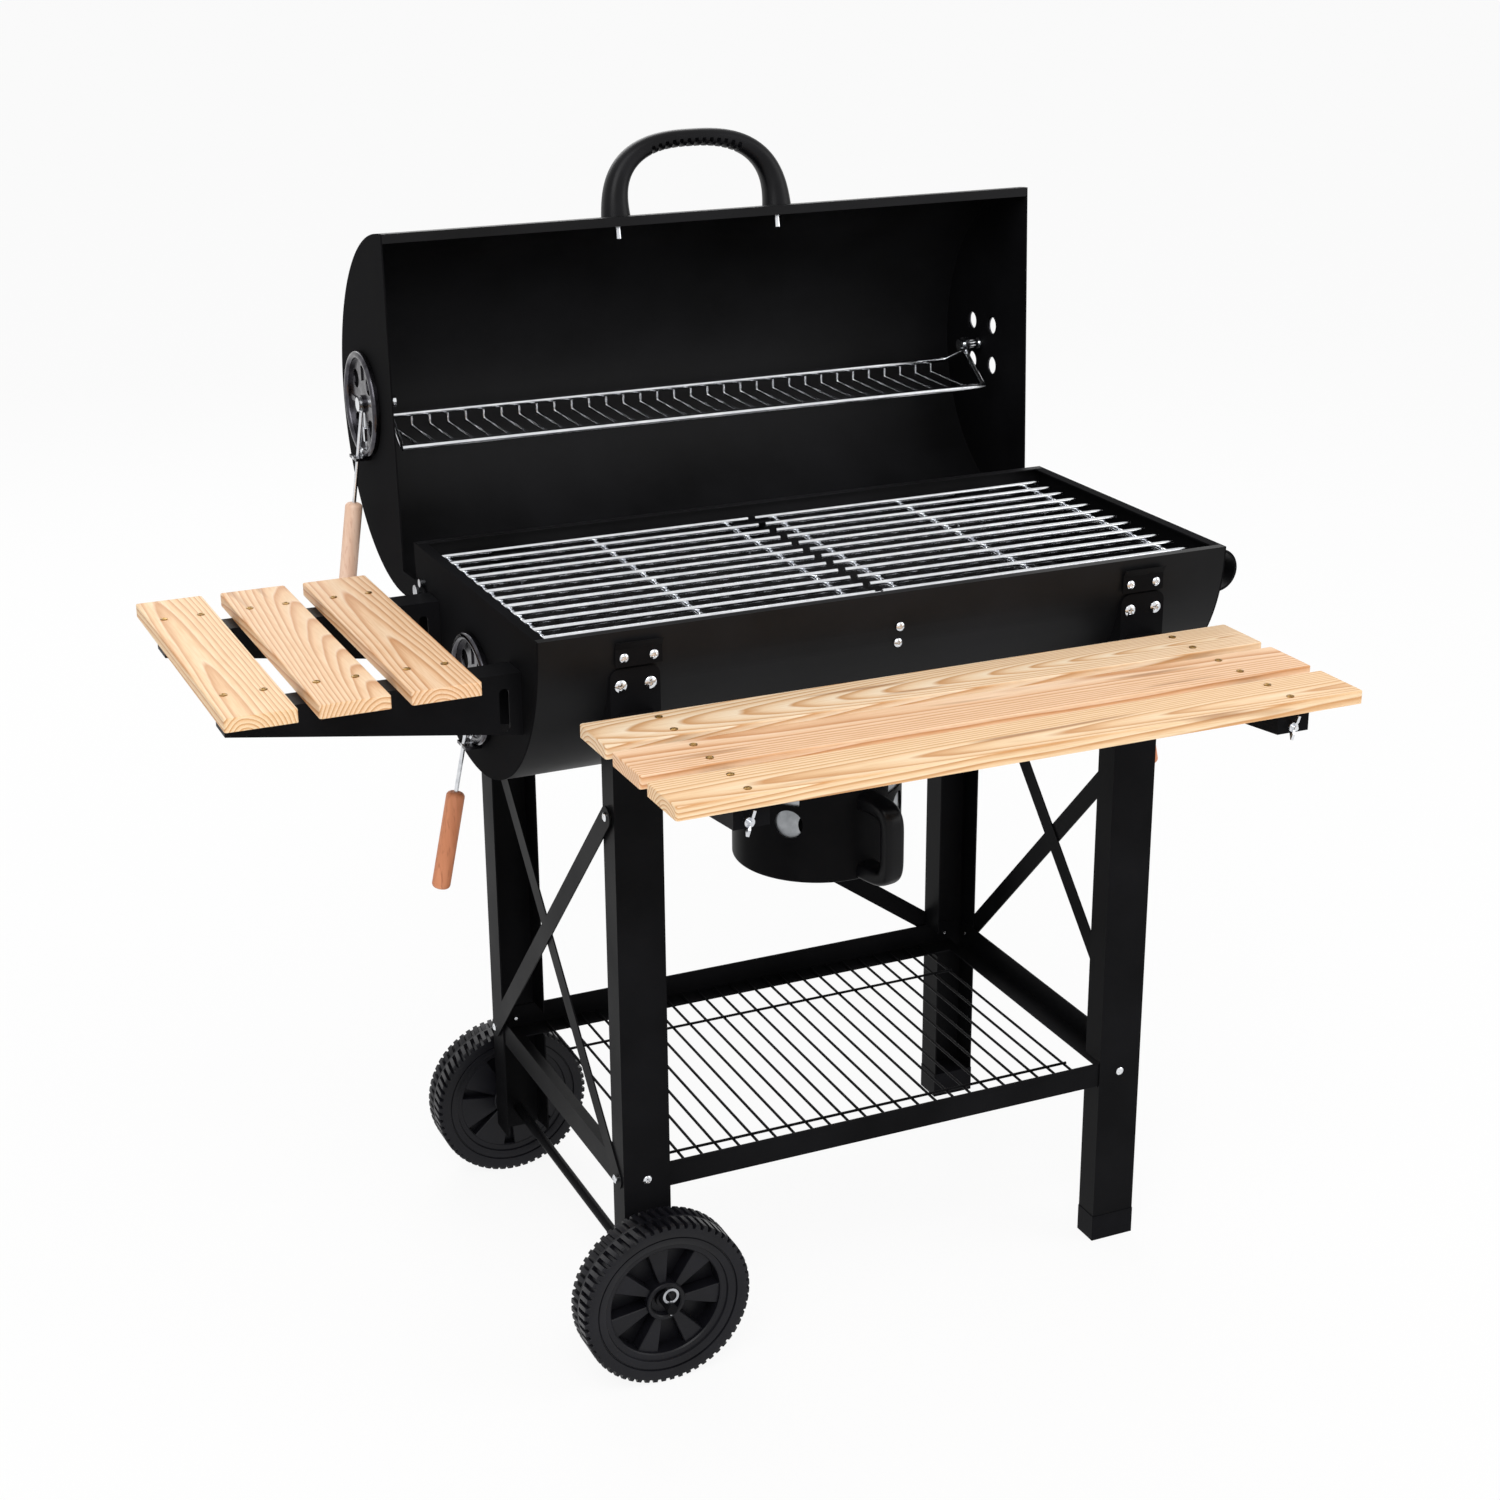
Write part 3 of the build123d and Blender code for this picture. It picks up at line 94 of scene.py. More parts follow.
def linear(code: str) -> Colour:
    """Turn an sRGB hex colour into linear light.

    Args:
        code: The colour as "#rrggbb".

    Returns:
        Linear red, green, blue and an alpha of 1.
    """
    srgb = np.array([int(code[i : i + 2], 16) for i in (1, 3, 5)]) / 255
    light = np.where(srgb <= 0.04045, srgb / 12.92, ((srgb + 0.055) / 1.055) ** 2.4)
    return (*light.tolist(), 1.0)


def per_metre(size_mm: float) -> float:
    """Texture scale whose features are size_mm apart."""
    return 1 / (size_mm * MM)


def set_inputs(tree: Tree, node: bpy.types.Node, inputs: dict) -> None:
    """Set a node's inputs.

    Args:
        tree: The tree that holds the node.
        node: The node to set.
        inputs: Input name or number to a value, or to a socket that is linked to it.
    """
    for key, value in inputs.items():
        if isinstance(value, Socket):
            tree.links.new(value, node.inputs[key])
        else:
            node.inputs[key].default_value = value


def add_node(
    tree: Tree,
    kind: str,
    inputs: dict | None = None,
    stops: list[tuple[float, str]] | None = None,
    **settings,
) -> bpy.types.Node:
    """Add a shader node with its settings and links.

    Args:
        tree: The tree to add to.
        kind: Blender's name of the node type.
        inputs: Values and links for set_inputs.
        stops: Places and hex colours, for a node with a colour ramp.
        settings: Properties of the node itself.

    Returns:
        The new node.
    """
    node = tree.nodes.new(kind)
    for key, value in settings.items():
        setattr(node, key, value)
    if stops:
        elements = node.color_ramp.elements
        while len(elements) < len(stops):
            elements.new(1.0)
        for element, (place, code) in zip(elements, stops):
            element.position = place
            element.color = linear(code)
    set_inputs(tree, node, inputs or {})
    return node


def noise(tree: Tree, place: Socket, size_mm: float, detail: float) -> Socket:
    """Add a noise between 0 and 1 whose features are size_mm apart."""
    inputs = {"Vector": place, "Scale": per_metre(size_mm), "Detail": detail}
    return add_node(tree, "ShaderNodeTexNoise", inputs).outputs["Fac"]


def ramp(tree: Tree, share: Socket, stops: list[tuple[float, str]]) -> Socket:
    """Pick a colour from a ramp of hex colours by a share."""
    return add_node(tree, "ShaderNodeValToRGB", {"Fac": share}, stops=stops).outputs["Color"]


def spread(tree: Tree, value: Socket, source: Span, target: Span) -> Socket:
    """Map a value from one span to another, held at both ends."""
    inputs = {"Value": value, 1: source[0], 2: source[1], 3: target[0], 4: target[1]}
    return add_node(tree, "ShaderNodeMapRange", inputs).outputs["Result"]


def mix(
    tree: Tree,
    share: Socket | float,
    first: Socket,
    second: Socket | Colour,
    blend: str = "MIX",
) -> Socket:
    """Lay a share of the second colour over the first one."""
    inputs = {0: share, 6: first, 7: second}
    return add_node(tree, "ShaderNodeMix", inputs, data_type="RGBA", blend_type=blend).outputs[2]


def maths(tree: Tree, operation: str, *values: Socket | float) -> Socket:
    """Add one arithmetic step on two or three values."""
    inputs = dict(enumerate(values))
    return add_node(tree, "ShaderNodeMath", inputs, operation=operation).outputs[0]


def stretched(
    tree: Tree,
    place: Socket,
    grain: Grain,
    share: float,
    shift: Triple = (0.0, 0.0, 0.0),
) -> Socket:
    """Squeeze coordinates along the grain, so that a pattern on them runs long there.

    Args:
        tree: The tree to add to.
        place: The coordinates to squeeze.
        grain: The axis they are squeezed along.
        share: What is left of a length along that axis.
        shift: What is added afterwards, in metres.

    Returns:
        The squeezed coordinates.
    """
    scale = Vector((1.0, 1.0, 1.0))
    scale[grain.value] = share
    inputs = {"Vector": place, "Scale": scale, "Location": shift}
    return add_node(tree, "ShaderNodeMapping", inputs).outputs[0]


def raised(tree: Tree, height: Socket, strength: float, depth_mm: float) -> Socket:
    """Give the normal of a surface that is raised by a height."""
    inputs = {"Height": height, "Strength": strength, "Distance": depth_mm * MM}
    return add_node(tree, "ShaderNodeBump", inputs).outputs["Normal"]


def grid_faces(rows: int, columns: int, loop: bool = False) -> np.ndarray:
    """Quads between the rows of a grid whose columns close on themselves.

    Args:
        rows: How many rows of points.
        columns: How many points in a row.
        loop: Whether the last row joins the first.

    Returns:
        Whole numbers of shape (faces, 4).
    """
    row = np.arange(rows if loop else rows - 1)[:, None]
    column = np.arange(columns)[None, :]
    after = (row + 1) % rows
    beside = (column + 1) % columns
    corners = (
        row * columns + column,
        row * columns + beside,
        after * columns + beside,
        after * columns + column,
    )
    whole = [np.broadcast_to(corner, (len(row), columns)) for corner in corners]
    return np.stack(whole, -1).reshape(-1, 4)


def revolved(profile: np.ndarray, columns: int) -> np.ndarray:
    """Carry a profile of (radius, height) once around the axis.

    Args:
        profile: Points of shape (rows, 2).
        columns: How many places around.

    Returns:
        Points of shape (rows, columns, 3), with the height in the last place.
    """
    turn = np.linspace(0, 2 * np.pi, columns, endpoint=False)[None, :]
    radius, height = profile[:, :1], profile[:, 1:]
    return np.stack(
        [radius * np.cos(turn), radius * np.sin(turn), np.repeat(height, columns, 1)], -1
    )


def smooth_step(value: np.ndarray, low: float, high: float) -> np.ndarray:
    """Rise from 0 at low to 1 at high with level ends."""
    share = np.clip((value - low) / (high - low), 0, 1)
    return share * share * (3 - 2 * share)


def new_piece(
    name: str, shells: list[Shell], finish: "Finish", crease: float = 32.0
) -> bpy.types.Object:
    """Make one object of several closed shells, with faces outwards and sharp edges kept.

    Args:
        name: Name of the piece.
        shells: Points and faces of each shell, in metres, in place.
        finish: The finish it is given.
        crease: Edges sharper than this many degrees stay sharp.

    Returns:
        The object, linked to the scene.
    """
    points, faces, start = [], [], 0
    for shell_points, shell_faces in shells:
        flat = shell_points.reshape(-1, 3)
        points.append(flat)
        faces.append(shell_faces + start)
        start += len(flat)
    mesh = bpy.data.meshes.new(name)
    mesh.from_pydata(np.concatenate(points).tolist(), [], np.concatenate(faces).tolist())
    work = bmesh.new()
    work.from_mesh(mesh)
    bmesh.ops.remove_doubles(work, verts=work.verts, dist=WELD)
    bmesh.ops.dissolve_degenerate(work, edges=work.edges, dist=WELD)
    bmesh.ops.recalc_face_normals(work, faces=work.faces)
    work.to_mesh(mesh)
    work.free()
    mesh.shade_smooth()
    mesh.set_sharp_from_angle(angle=math.radians(crease))
    mesh.materials.append(finish.material())
    piece = bpy.data.objects.new(name, mesh)
    bpy.context.scene.collection.objects.link(piece)
    log.info("%s: %d faces", name, len(mesh.polygons))
    return piece


def stand_for(piece: bpy.types.Object, node: str) -> None:
    """Let a piece stand for a CAD node: same body, and the node hidden.

    Args:
        piece: The visible piece.
        node: Name of the CAD node.
    """
    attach(piece, frame["nodes"][node]["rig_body"])
    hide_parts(node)


def dress_node(node: str, finish: "Finish") -> None:
    """Give a CAD node a finish, in every slot it has."""
    for slot in frame["nodes"][node].material_slots:
        slot.material = finish.material()


def islands(node: str) -> list[np.ndarray]:
    """Find the separate lumps of a CAD node.

    Corners that share a place are one, each triangle hands its lowest label to its corners, and
    that is repeated until nothing changes.

    Args:
        node: Name of the CAD node.

    Returns:
        One array of points per lump, in order of its lowest corner's place.
    """
    mesh = frame["nodes"][node].data
    points = np.empty(len(mesh.vertices) * 3, np.float32)
    mesh.vertices.foreach_get("co", points)
    points = points.reshape(-1, 3).astype(float)
    mesh.calc_loop_triangles()
    corners = np.empty(len(mesh.loop_triangles) * 3, np.int32)
    mesh.loop_triangles.foreach_get("vertices", corners)
    places, index = np.unique(np.round(points, 6), axis=0, return_inverse=True)
    corners = index.reshape(-1)[corners].reshape(-1, 3)
    label = np.arange(len(places))
    while True:
        lowest = label[corners].min(1)
        after = label.copy()
        np.minimum.at(after, corners.reshape(-1), np.repeat(lowest, 3))
        if np.array_equal(after, label):
            break
        label = after
    return [places[label == one] for one in np.unique(label)]


# Finishes


@dataclass(frozen=True)
class Finish:
    """What every finish has: the name of its material, and a look."""

    name: str

    def material(self) -> bpy.types.Material:
        """Give the finish's material, made on its first use.

        Returns:
            A node material that reads Object coordinates.
        """
        found = bpy.data.materials.get(self.name)
        if found:
            return found
        made = bpy.data.materials.new(self.name)
        made.use_nodes = True
        tree = made.node_tree
        tree.nodes.clear()
        place = add_node(tree, "ShaderNodeTexCoord").outputs["Object"]
        shader = add_node(tree, "ShaderNodeBsdfPrincipled", self.look(tree, place))
        add_node(tree, "ShaderNodeOutputMaterial", {"Surface": shader.outputs[0]})
        return made

    def look(self, tree: Tree, place: Socket) -> dict:
        """Add the finish's own nodes.

        Args:
            tree: The material's tree.
            place: Object coordinates, in metres.

        Returns:
            What goes into the shader: input name to a value or a socket.
        """
        raise NotImplementedError


@dataclass(frozen=True)
class CloudedCoat(Finish):
    """Dark coat, slightly clouded in colour and gloss, with a fine raised texture.

    The real texture is finer than texture_mm. It is drawn coarser, so that it shows.
    """

    dark: str
    light: str
    cloud_mm: float
    cloud_detail: float
    cloud_stops: Span
    texture_mm: float
    texture_detail: float
    texture_depth_mm: float
    texture_strength: float
    smooth: float
    rough: float
    shine: float
    gloss_stops: Span = (0.3, 0.7)

    def look(self, tree: Tree, place: Socket) -> dict:
        """Cloud the colour and the gloss together, and raise the texture. See Finish.look."""
        clouds = noise(tree, place, self.cloud_mm, self.cloud_detail)
        texture = noise(tree, place, self.texture_mm, self.texture_detail)
        low, high = self.cloud_stops
        return {
            "Base Color": ramp(tree, clouds, [(low, self.dark), (high, self.light)]),
            "Roughness": spread(tree, clouds, self.gloss_stops, (self.smooth, self.rough)),
            "Specular IOR Level": self.shine,
            "Normal": raised(tree, texture, self.texture_strength, self.texture_depth_mm),
        }


@dataclass(frozen=True)
class PlatedSteel(Finish):
    """Plated steel: a metal whose tint, gloss and handling marks depend on the plating."""

    dark: str
    light: str
    smooth: float
    rough: float
    mark_mm: float
    mark_detail: float = 5.0
    mark_stops: Span = (0.25, 0.75)

    def look(self, tree: Tree, place: Socket) -> dict:
        """Vary tint and gloss together by faint marks. See Finish.look."""
        marks = noise(tree, place, self.mark_mm, self.mark_detail)
        low, high = self.mark_stops
        return {
            "Base Color": ramp(tree, marks, [(low, self.dark), (high, self.light)]),
            "Roughness": spread(tree, marks, self.mark_stops, (self.rough, self.smooth)),
            "Metallic": 1.0,
        }


@dataclass(frozen=True)
class PartPlated(Finish):
    """One piece with two platings: the second covers what lies between limits along the row's axes.

    Each limit is a middle and a half width, in metres, or None where the axis has no limit.
    """

    first: PlatedSteel
    second: PlatedSteel
    limits: tuple[Span | None, ...]
    mark_detail: float = 4.0
    mark_stops: Span = (0.3, 0.7)

    def look(self, tree: Tree, place: Socket) -> dict:
        """Mix both tints, and vary the gloss with the first one's marks. See Finish.look."""
        axes = add_node(tree, "ShaderNodeSeparateXYZ", {0: place}).outputs
        within = [
            maths(tree, "COMPARE", axis, *limit) for axis, limit in zip(axes, self.limits) if limit
        ]
        share = within[0]
        for other in within[1:]:
            share = maths(tree, "MULTIPLY", share, other)
        marks = noise(tree, place, self.first.mark_mm, self.mark_detail)
        low, high = self.mark_stops
        tints = [
            ramp(tree, marks, [(low, plating.dark), (high, plating.light)])
            for plating in (self.first, self.second)
        ]
        gloss = (self.first.rough, self.first.smooth)
        return {
            "Base Color": mix(tree, share, *tints),
            "Roughness": spread(tree, marks, self.mark_stops, gloss),
            "Metallic": 1.0,
        }


@dataclass(frozen=True)
class PineBoard(Finish):
    """Planed pine board, flat sawn: cream early wood, golden late wood, loops where rings run out.

    Fibres are about 0.1 mm wide in real pine and are drawn coarser, so that they show.
    """

    grain: Grain
    middle: Triple
    tilt: float
    pith_mm: Span
    tint: str
    early: str = "#f8e4c8"
    between: str = "#f1d2ad"
    late: str = "#d09c68"
    ring_mm: float = 3.6
    ring_stretch: float = 0.12
    ring_wander: float = 7.0
    ring_strength: float = 0.3
    ring_depth_mm: float = 0.12
    fibre: str = "#efe3d2"
    fibre_mm: float = 0.9
    fibre_stretch: float = 0.03
    fibre_share: float = 0.8
    pocket: str = "#a87850"
    pocket_mm: float = 14.0
    pocket_stretch: float = 0.07
    pocket_stops: Span = (0.68, 0.78)
    pocket_share: float = 0.75
    gloss: Span = (0.62, 0.46)
    shine: float = 0.35

    def rings(self, tree: Tree, place: Socket) -> Socket:
        """Cut the board out of a round trunk.

        Year rings are circles about a pith line under the board. The line is tilted against the
        board, so the rings come out as nested loops. The pattern is squeezed along the grain first,
        so that the wander of the rings is long and slow.

        Args:
            tree: The material's tree.
            place: Object coordinates, in metres.

        Returns:
            A share that rises from 0 to 1 across each year's ring.
        """
        along = self.grain.value
        across = 1 - along
        squeeze = Vector((1.0, 1.0, 1.0))
        squeeze[along] = self.ring_stretch
        turn = Euler((0.0, 0.0, 0.0))
        turn[across] = math.radians(self.tilt)
        pith = Vector((0.0, 0.0, self.pith_mm[1] * MM))
        pith[across] = self.pith_mm[0] * MM
        squeezed = Vector(a * b for a, b in zip(squeeze, self.middle))
        trunk = add_node(
            tree,
            "ShaderNodeMapping",
            {
                "Vector": place,
                "Location": pith - turn.to_matrix() @ squeezed,
                "Rotation": turn,
                "Scale": squeeze,
            },
        )
        wave = add_node(
            tree,
            "ShaderNodeTexWave",
            {
                "Vector": trunk.outputs[0],
                "Scale": WAVE_SCALE * per_metre(self.ring_mm),
                "Distortion": self.ring_wander,
                "Detail": 2.0,
                "Detail Scale": 0.3,
                "Detail Roughness": 0.45,
            },
            wave_type="RINGS",
            rings_direction=self.grain.name,
            wave_profile="SAW",
        )
        return wave.outputs["Fac"]

    def look(self, tree: Tree, place: Socket) -> dict:
        """Lay fibres, the board's own tint and resin pockets over the rings. See Finish.look."""
        rings = self.rings(tree, place)
        years = [(0.0, self.early), (0.5, self.between), (0.86, self.late), (1.0, self.early)]
        fibre_place = stretched(tree, place, self.grain, self.fibre_stretch)
        fibre_noise = noise(tree, fibre_place, self.fibre_mm, 3.0)
        fibres = ramp(tree, fibre_noise, [(0.3, self.fibre), (0.6, "#ffffff")])
        fibred = mix(tree, self.fibre_share, ramp(tree, rings, years), fibres, "MULTIPLY")
        tinted = mix(tree, 1.0, fibred, linear(self.tint), "MULTIPLY")
        pocket_place = stretched(tree, place, self.grain, self.pocket_stretch, self.middle)
        pockets = noise(tree, pocket_place, self.pocket_mm, 1.0)
        share = spread(tree, pockets, self.pocket_stops, (0.0, self.pocket_share))
        return {
            "Base Color": mix(tree, share, tinted, linear(self.pocket)),
            "Roughness": spread(tree, rings, (0.0, 1.0), self.gloss),
            "Specular IOR Level": self.shine,
            "Normal": raised(tree, rings, self.ring_strength, self.ring_depth_mm),
        }


@dataclass(frozen=True)
class TurnedBeech(Finish):
    """Turned beech dowel: even and close, with short darker flecks along its upright length.

    Real flecks are under 1 mm wide. They are drawn coarser, so that they show.
    """

    pale: str
    deep: str
    fleck: str
    band_mm: float = 7.0
    band_stretch: float = 0.1
    band_stops: Span = (0.32, 0.68)
    fleck_mm: float = 2.2
    fleck_stretch: float = 0.16
    fleck_stops: Span = (0.56, 0.72)
    fleck_share: float = 0.6
    fleck_strength: float = 0.2
    fleck_depth_mm: float = 0.1
    rough: float = 0.52

    def look(self, tree: Tree, place: Socket) -> dict:
        """Lay slow bands and short flecks along the length. See Finish.look."""
        band_place = stretched(tree, place, Grain.Z, self.band_stretch)
        bands = noise(tree, band_place, self.band_mm, 4.0)
        low, high = self.band_stops
        body = ramp(tree, bands, [(low, self.deep), (high, self.pale)])
        fleck_place = stretched(tree, place, Grain.Z, self.fleck_stretch)
        flecks = noise(tree, fleck_place, self.fleck_mm, 2.0)
        share = spread(tree, flecks, self.fleck_stops, (0.0, self.fleck_share))
        return {
            "Base Color": mix(tree, share, body, linear(self.fleck)),
            "Roughness": self.rough,
            "Normal": raised(tree, flecks, self.fleck_strength, self.fleck_depth_mm),
        }


# Heat-proof paint sprayed on sheet steel: satin black, with an orange peel of about 1 mm
HEAT_PAINT = CloudedCoat(
    "satin_heat_paint",
    dark="#0c0c0d",
    light="#161618",
    cloud_mm=110.0,
    cloud_detail=4.0,
    cloud_stops=(0.3, 0.72),
    texture_mm=2.4,
    texture_detail=2.0,
    texture_depth_mm=0.05,
    texture_strength=0.5,
    smooth=0.34,
    rough=0.46,
    shine=0.03,
)
# The same paint, wetter on the two rolled shells and drier on the end plates
SHELL_PAINT = replace(HEAT_PAINT, name="sleek_heat_paint", smooth=0.4, rough=0.52, shine=0.13)
END_PAINT = replace(HEAT_PAINT, name="matt_heat_paint", smooth=0.7, rough=0.82, shine=0.02)
# Plastic moulded in a spark-worn tool: near black, clouded where it flowed, with a grit of 0.2 mm
PLASTIC = CloudedCoat(
    "moulded_black_polypropylene",
    dark="#0a0a0c",
    light="#121215",
    cloud_mm=45.0,
    cloud_detail=3.0,
    cloud_stops=(0.32, 0.7),
    texture_mm=1.6,
    texture_detail=1.0,
    texture_depth_mm=0.06,
    texture_strength=0.35,
    smooth=0.28,
    rough=0.42,
    shine=0.14,
)
CAP_PLASTIC = replace(
    PLASTIC, name="moulded_cap_polyethylene", smooth=0.4, rough=0.54, shine=0.04
)
TYRE_PLASTIC = replace(
    PLASTIC,
    name="moulded_wheel_polypropylene",
    dark="#0d0d11",
    light="#16161b",
    smooth=0.34,
    rough=0.46,
    shine=0.2,
)
# Bright chrome over polished wire and screws: almost white, sharp reflections
CHROME = PlatedSteel(
    "chrome_plated_wire", dark="#c9cbd0", light="#eceef0", smooth=0.1, rough=0.22, mark_mm=22.0
)
# Pressed steel under thin chrome: greyer and softer, with faint press marks
PRESSED_CHROME = PlatedSteel(
    "chrome_plated_pressing", dark="#8f9196", light="#c4c6ca", smooth=0.16, rough=0.32, mark_mm=9.0
)
# Pressed steel under black nickel: glossy and slightly warm. Its dark tint is partly painted
# reflection: it stands in for the dark surroundings that the bright discs reflect
NICKEL_WITH_PAINTED_REFLECTION = PlatedSteel(
    "nickel_pressing_painted_dark_reflection", dark="#37363a", light="#56555a", smooth=0.14, rough=0.28, mark_mm=9.0
)
# Dip-galvanised sheet: dull grey with cloudy crystals
GALVANISED = PlatedSteel(
    "dip_galvanised_sheet", dark="#9b9ea2", light="#c2c5c8", smooth=0.34, rough=0.5, mark_mm=9.0
)
# Blackened sheet: dark oxide, dull
BLACKENED = PlatedSteel(
    "blackened_sheet", dark="#0d0d0e", light="#171719", smooth=0.38, rough=0.5, mark_mm=14.0
)
# Yellow-passivated zinc on wood screws: brassy and slightly dull
YELLOW_ZINC = PlatedSteel(
    "yellow_passivated_zinc", dark="#5e4524", light="#b08c50", smooth=0.24, rough=0.42, mark_mm=3.0
)
BEECH_PALE = TurnedBeech("turned_pale_beech", pale="#f2d0b8", deep="#e6bda2", fleck="#d3a58a")
BEECH_STAINED = TurnedBeech("turned_stained_beech", pale="#dc9168", deep="#c97d54", fleck="#a85f3a")


# Pieces that are moulded or turned, worked out as surfaces


@dataclass
class CartWheel:
    """Moulded wheel: a tyre with two staggered rows of lugs, seven wedge spokes and a cupped hub.

    Sizes are millimetres. Radii run from the axle, and heights along it, outwards from the middle.
    A lug's slant, lead and stagger are shares of the distance between lugs.
    """

    node: str
    outward: int
    radius: float = 84.0
    half_width: float = 20.0
    lugs: int = 60
    lug_depth: float = 4.0
    lug_slant: float = 0.3
    lug_lead: float = 0.06
    lug_stagger: float = 0.5
    opening_radius: float = 55.5
    hub_radius: float = 19.4
    hub_cup: float = 14.8
    bore: float = 5.3
    spokes: int = 7
    spoke_hub: float = 3.2
    spoke_rim: float = 11.0
    spoke_heights: Span = (-4.5, 10.5)
    back_hub: float = 7.5
    back_rim: float = 20.0
    back_heights: Span = (-13.0, -5.0)
    spoke_edge: float = 0.8
    first_spoke: float = 90.0
    hub_columns: int = 72

    def placed(self, points: np.ndarray) -> np.ndarray:
        """Carry points from the wheel's own axis into the shared frame.

        Args:
            points: Points whose last place is the height along the axle, in millimetres.

        Returns:
            The points in metres, with the height along the row's Y, outwards.
        """
        low, high = (np.array(corner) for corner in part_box(self.node))
        turned = np.stack([points[..., 0], self.outward * points[..., 2], points[..., 1]], -1)
        return turned * MM + (low + high) / 2

    def tyre(self) -> Shell:
        """Work out the tyre and its rim.

        A closed profile is carried around the axle. On the tread rows the radius drops by the lug
        depth on every second pair of columns. Each row is turned a little more than the last, which
        slants the lugs, and by half a lug across the middle ridge, which staggers the two rows.

        Returns:
            Points and faces of the closed ring.
        """
        edge, half = self.radius, self.half_width
        side = [
            (self.opening_radius, 6.0),
            (self.opening_radius, 12.6),
            (self.opening_radius + 1.2, 13.8),
            (61.5, 14.4),
            (62.3, 16.6),
            (63.2, 17.2),
            (69.2, 17.8),
            (69.7, 16.8),
            (70.5, 16.8),
            (71.0, 18.6),
            (76.0, 19.6),
            (edge - self.lug_depth, half - 0.3),
        ]
        tread = [(edge - 1.0, half - 1.0), (edge, half - 2.6), (edge, 2.0)]
        ridge = [(edge - 0.3, 1.4), (edge - 0.3, -1.4)]
        back_tread = [(radius, -height) for radius, height in reversed(tread)]
        back_side = [(radius, -height) for radius, height in reversed(side)]
        profile = np.array(side + tread + ridge + back_tread + back_side)
        is_tread = np.zeros(len(profile), bool)
        is_tread[len(side) : len(side) + len(tread)] = True
        is_tread[len(side) + len(tread) + len(ridge) : -len(side)] = True
        near = self.lug_slant
        far = 2 * near + self.lug_stagger
        across = [near, near, near + self.lug_stagger, near + self.lug_stagger]
        row_turn = np.concatenate(
            [
                np.zeros(len(side) + 1),
                [self.lug_lead, *across, far - self.lug_lead],
                np.full(len(side) + 1, far),
            ]
        )
        steps = np.array([0.0, 0.5, 0.58, 0.92])
        groove = np.tile(np.array([0.0, 0.0, 1.0, 1.0]), self.lugs)
        column = (np.arange(self.lugs)[:, None] + steps[None, :]).reshape(-1)
        turn = 2 * np.pi * (column[None, :] + row_turn[:, None]) / self.lugs
        floor = edge - self.lug_depth
        top = profile[:, :1]
        cut = groove[None, :] * np.maximum(top - floor, 0)
        radius = np.where(is_tread[:, None], top - cut, top)
        height = np.broadcast_to(profile[:, 1:], radius.shape)
        points = np.stack([radius * np.cos(turn), radius * np.sin(turn), height], -1)
        return self.placed(points), grid_faces(*radius.shape, loop=True)

    def hub(self) -> Shell:
        """Carry the hub's closed profile, with its cup and collar, around the axle.

        Returns:
            Points and faces of the closed hub.
        """
        outer, cup = self.hub_radius, self.hub_cup
        profile = np.array(
            [
                (self.bore, -15.0),
                (outer - 1.0, -15.0),
                (outer, -14.0),
                (outer, 12.6),
                (outer - 0.8, 13.8),
                (cup + 1.2, 13.8),
                (cup, 12.6),
                (cup - 0.8, 6.0),
                (self.bore + 3.2, 5.4),
                (self.bore + 2.6, 8.4),
                (self.bore, 8.4),
            ]
        )
        points = revolved(profile, self.hub_columns)
        return self.placed(points), grid_faces(*points.shape[:2], loop=True)

    def spoke_set(self, half_widths: Span, heights: Span, first: float) -> Shell:
        """Work out one set of spokes.

        Each is a chamfered bar, narrow at the hub and wide at the rim, with its ends inside both.

        Args:
            half_widths: Half its width at the hub and at the rim.
            heights: Its two faces, along the axle.
            first: Direction of the first one, in degrees.

        Returns:
            Points and faces of all spokes.
        """
        chamfer = self.spoke_edge
        reach = np.array([self.hub_radius - 1.5, self.opening_radius + 1.0])
        half = np.array(half_widths)
        upper = [(-1, 0, 1), (-1, 1, 0), (1, 1, 0), (1, 0, 1)]
        lower = [(x, -face, -edge) for x, face, edge in reversed(upper)]
        ring = np.array(upper + lower)
        middle = (heights[0] + heights[1]) / 2
        tall = (heights[1] - heights[0]) / 2
        wide = ring[None, :, 0] * (half[:, None] - chamfer * np.abs(ring[None, :, 1]))
        level = np.where(ring[:, 1] != 0, ring[:, 1] * tall, ring[:, 2] * (tall - chamfer)) + middle
        out = np.broadcast_to(reach[:, None], wide.shape)
        turn = np.radians(first) + np.arange(self.spokes) * 2 * np.pi / self.spokes
        turn = turn[:, None, None]
        x = out[None] * np.cos(turn) - wide[None] * np.sin(turn)
        y = out[None] * np.sin(turn) + wide[None] * np.cos(turn)
        points = np.stack([x, y, np.broadcast_to(level[None, None, :], x.shape)], -1)
        end = np.array([(0, 1, 2, 3), (0, 3, 4, 7), (4, 5, 6, 7)])
        one = np.concatenate([grid_faces(2, len(ring)), end, end + len(ring)])
        start = 2 * len(ring) * np.arange(self.spokes)[:, None, None]
        faces = (one[None] + start).reshape(-1, 4)
        return self.placed(points), faces

    def build(self) -> None:
        """Make the wheel, with wider spokes behind the gaps, and let it stand for its CAD node."""
        first = self.first_spoke
        between = first + 180 / self.spokes
        fronts = self.spoke_set((self.spoke_hub, self.spoke_rim), self.spoke_heights, first)
        backs = self.spoke_set((self.back_hub, self.back_rim), self.back_heights, between)
        shells = [self.tyre(), self.hub(), fronts, backs]
        stand_for(new_piece(f"{self.node}_moulded", shells, TYRE_PLASTIC), self.node)


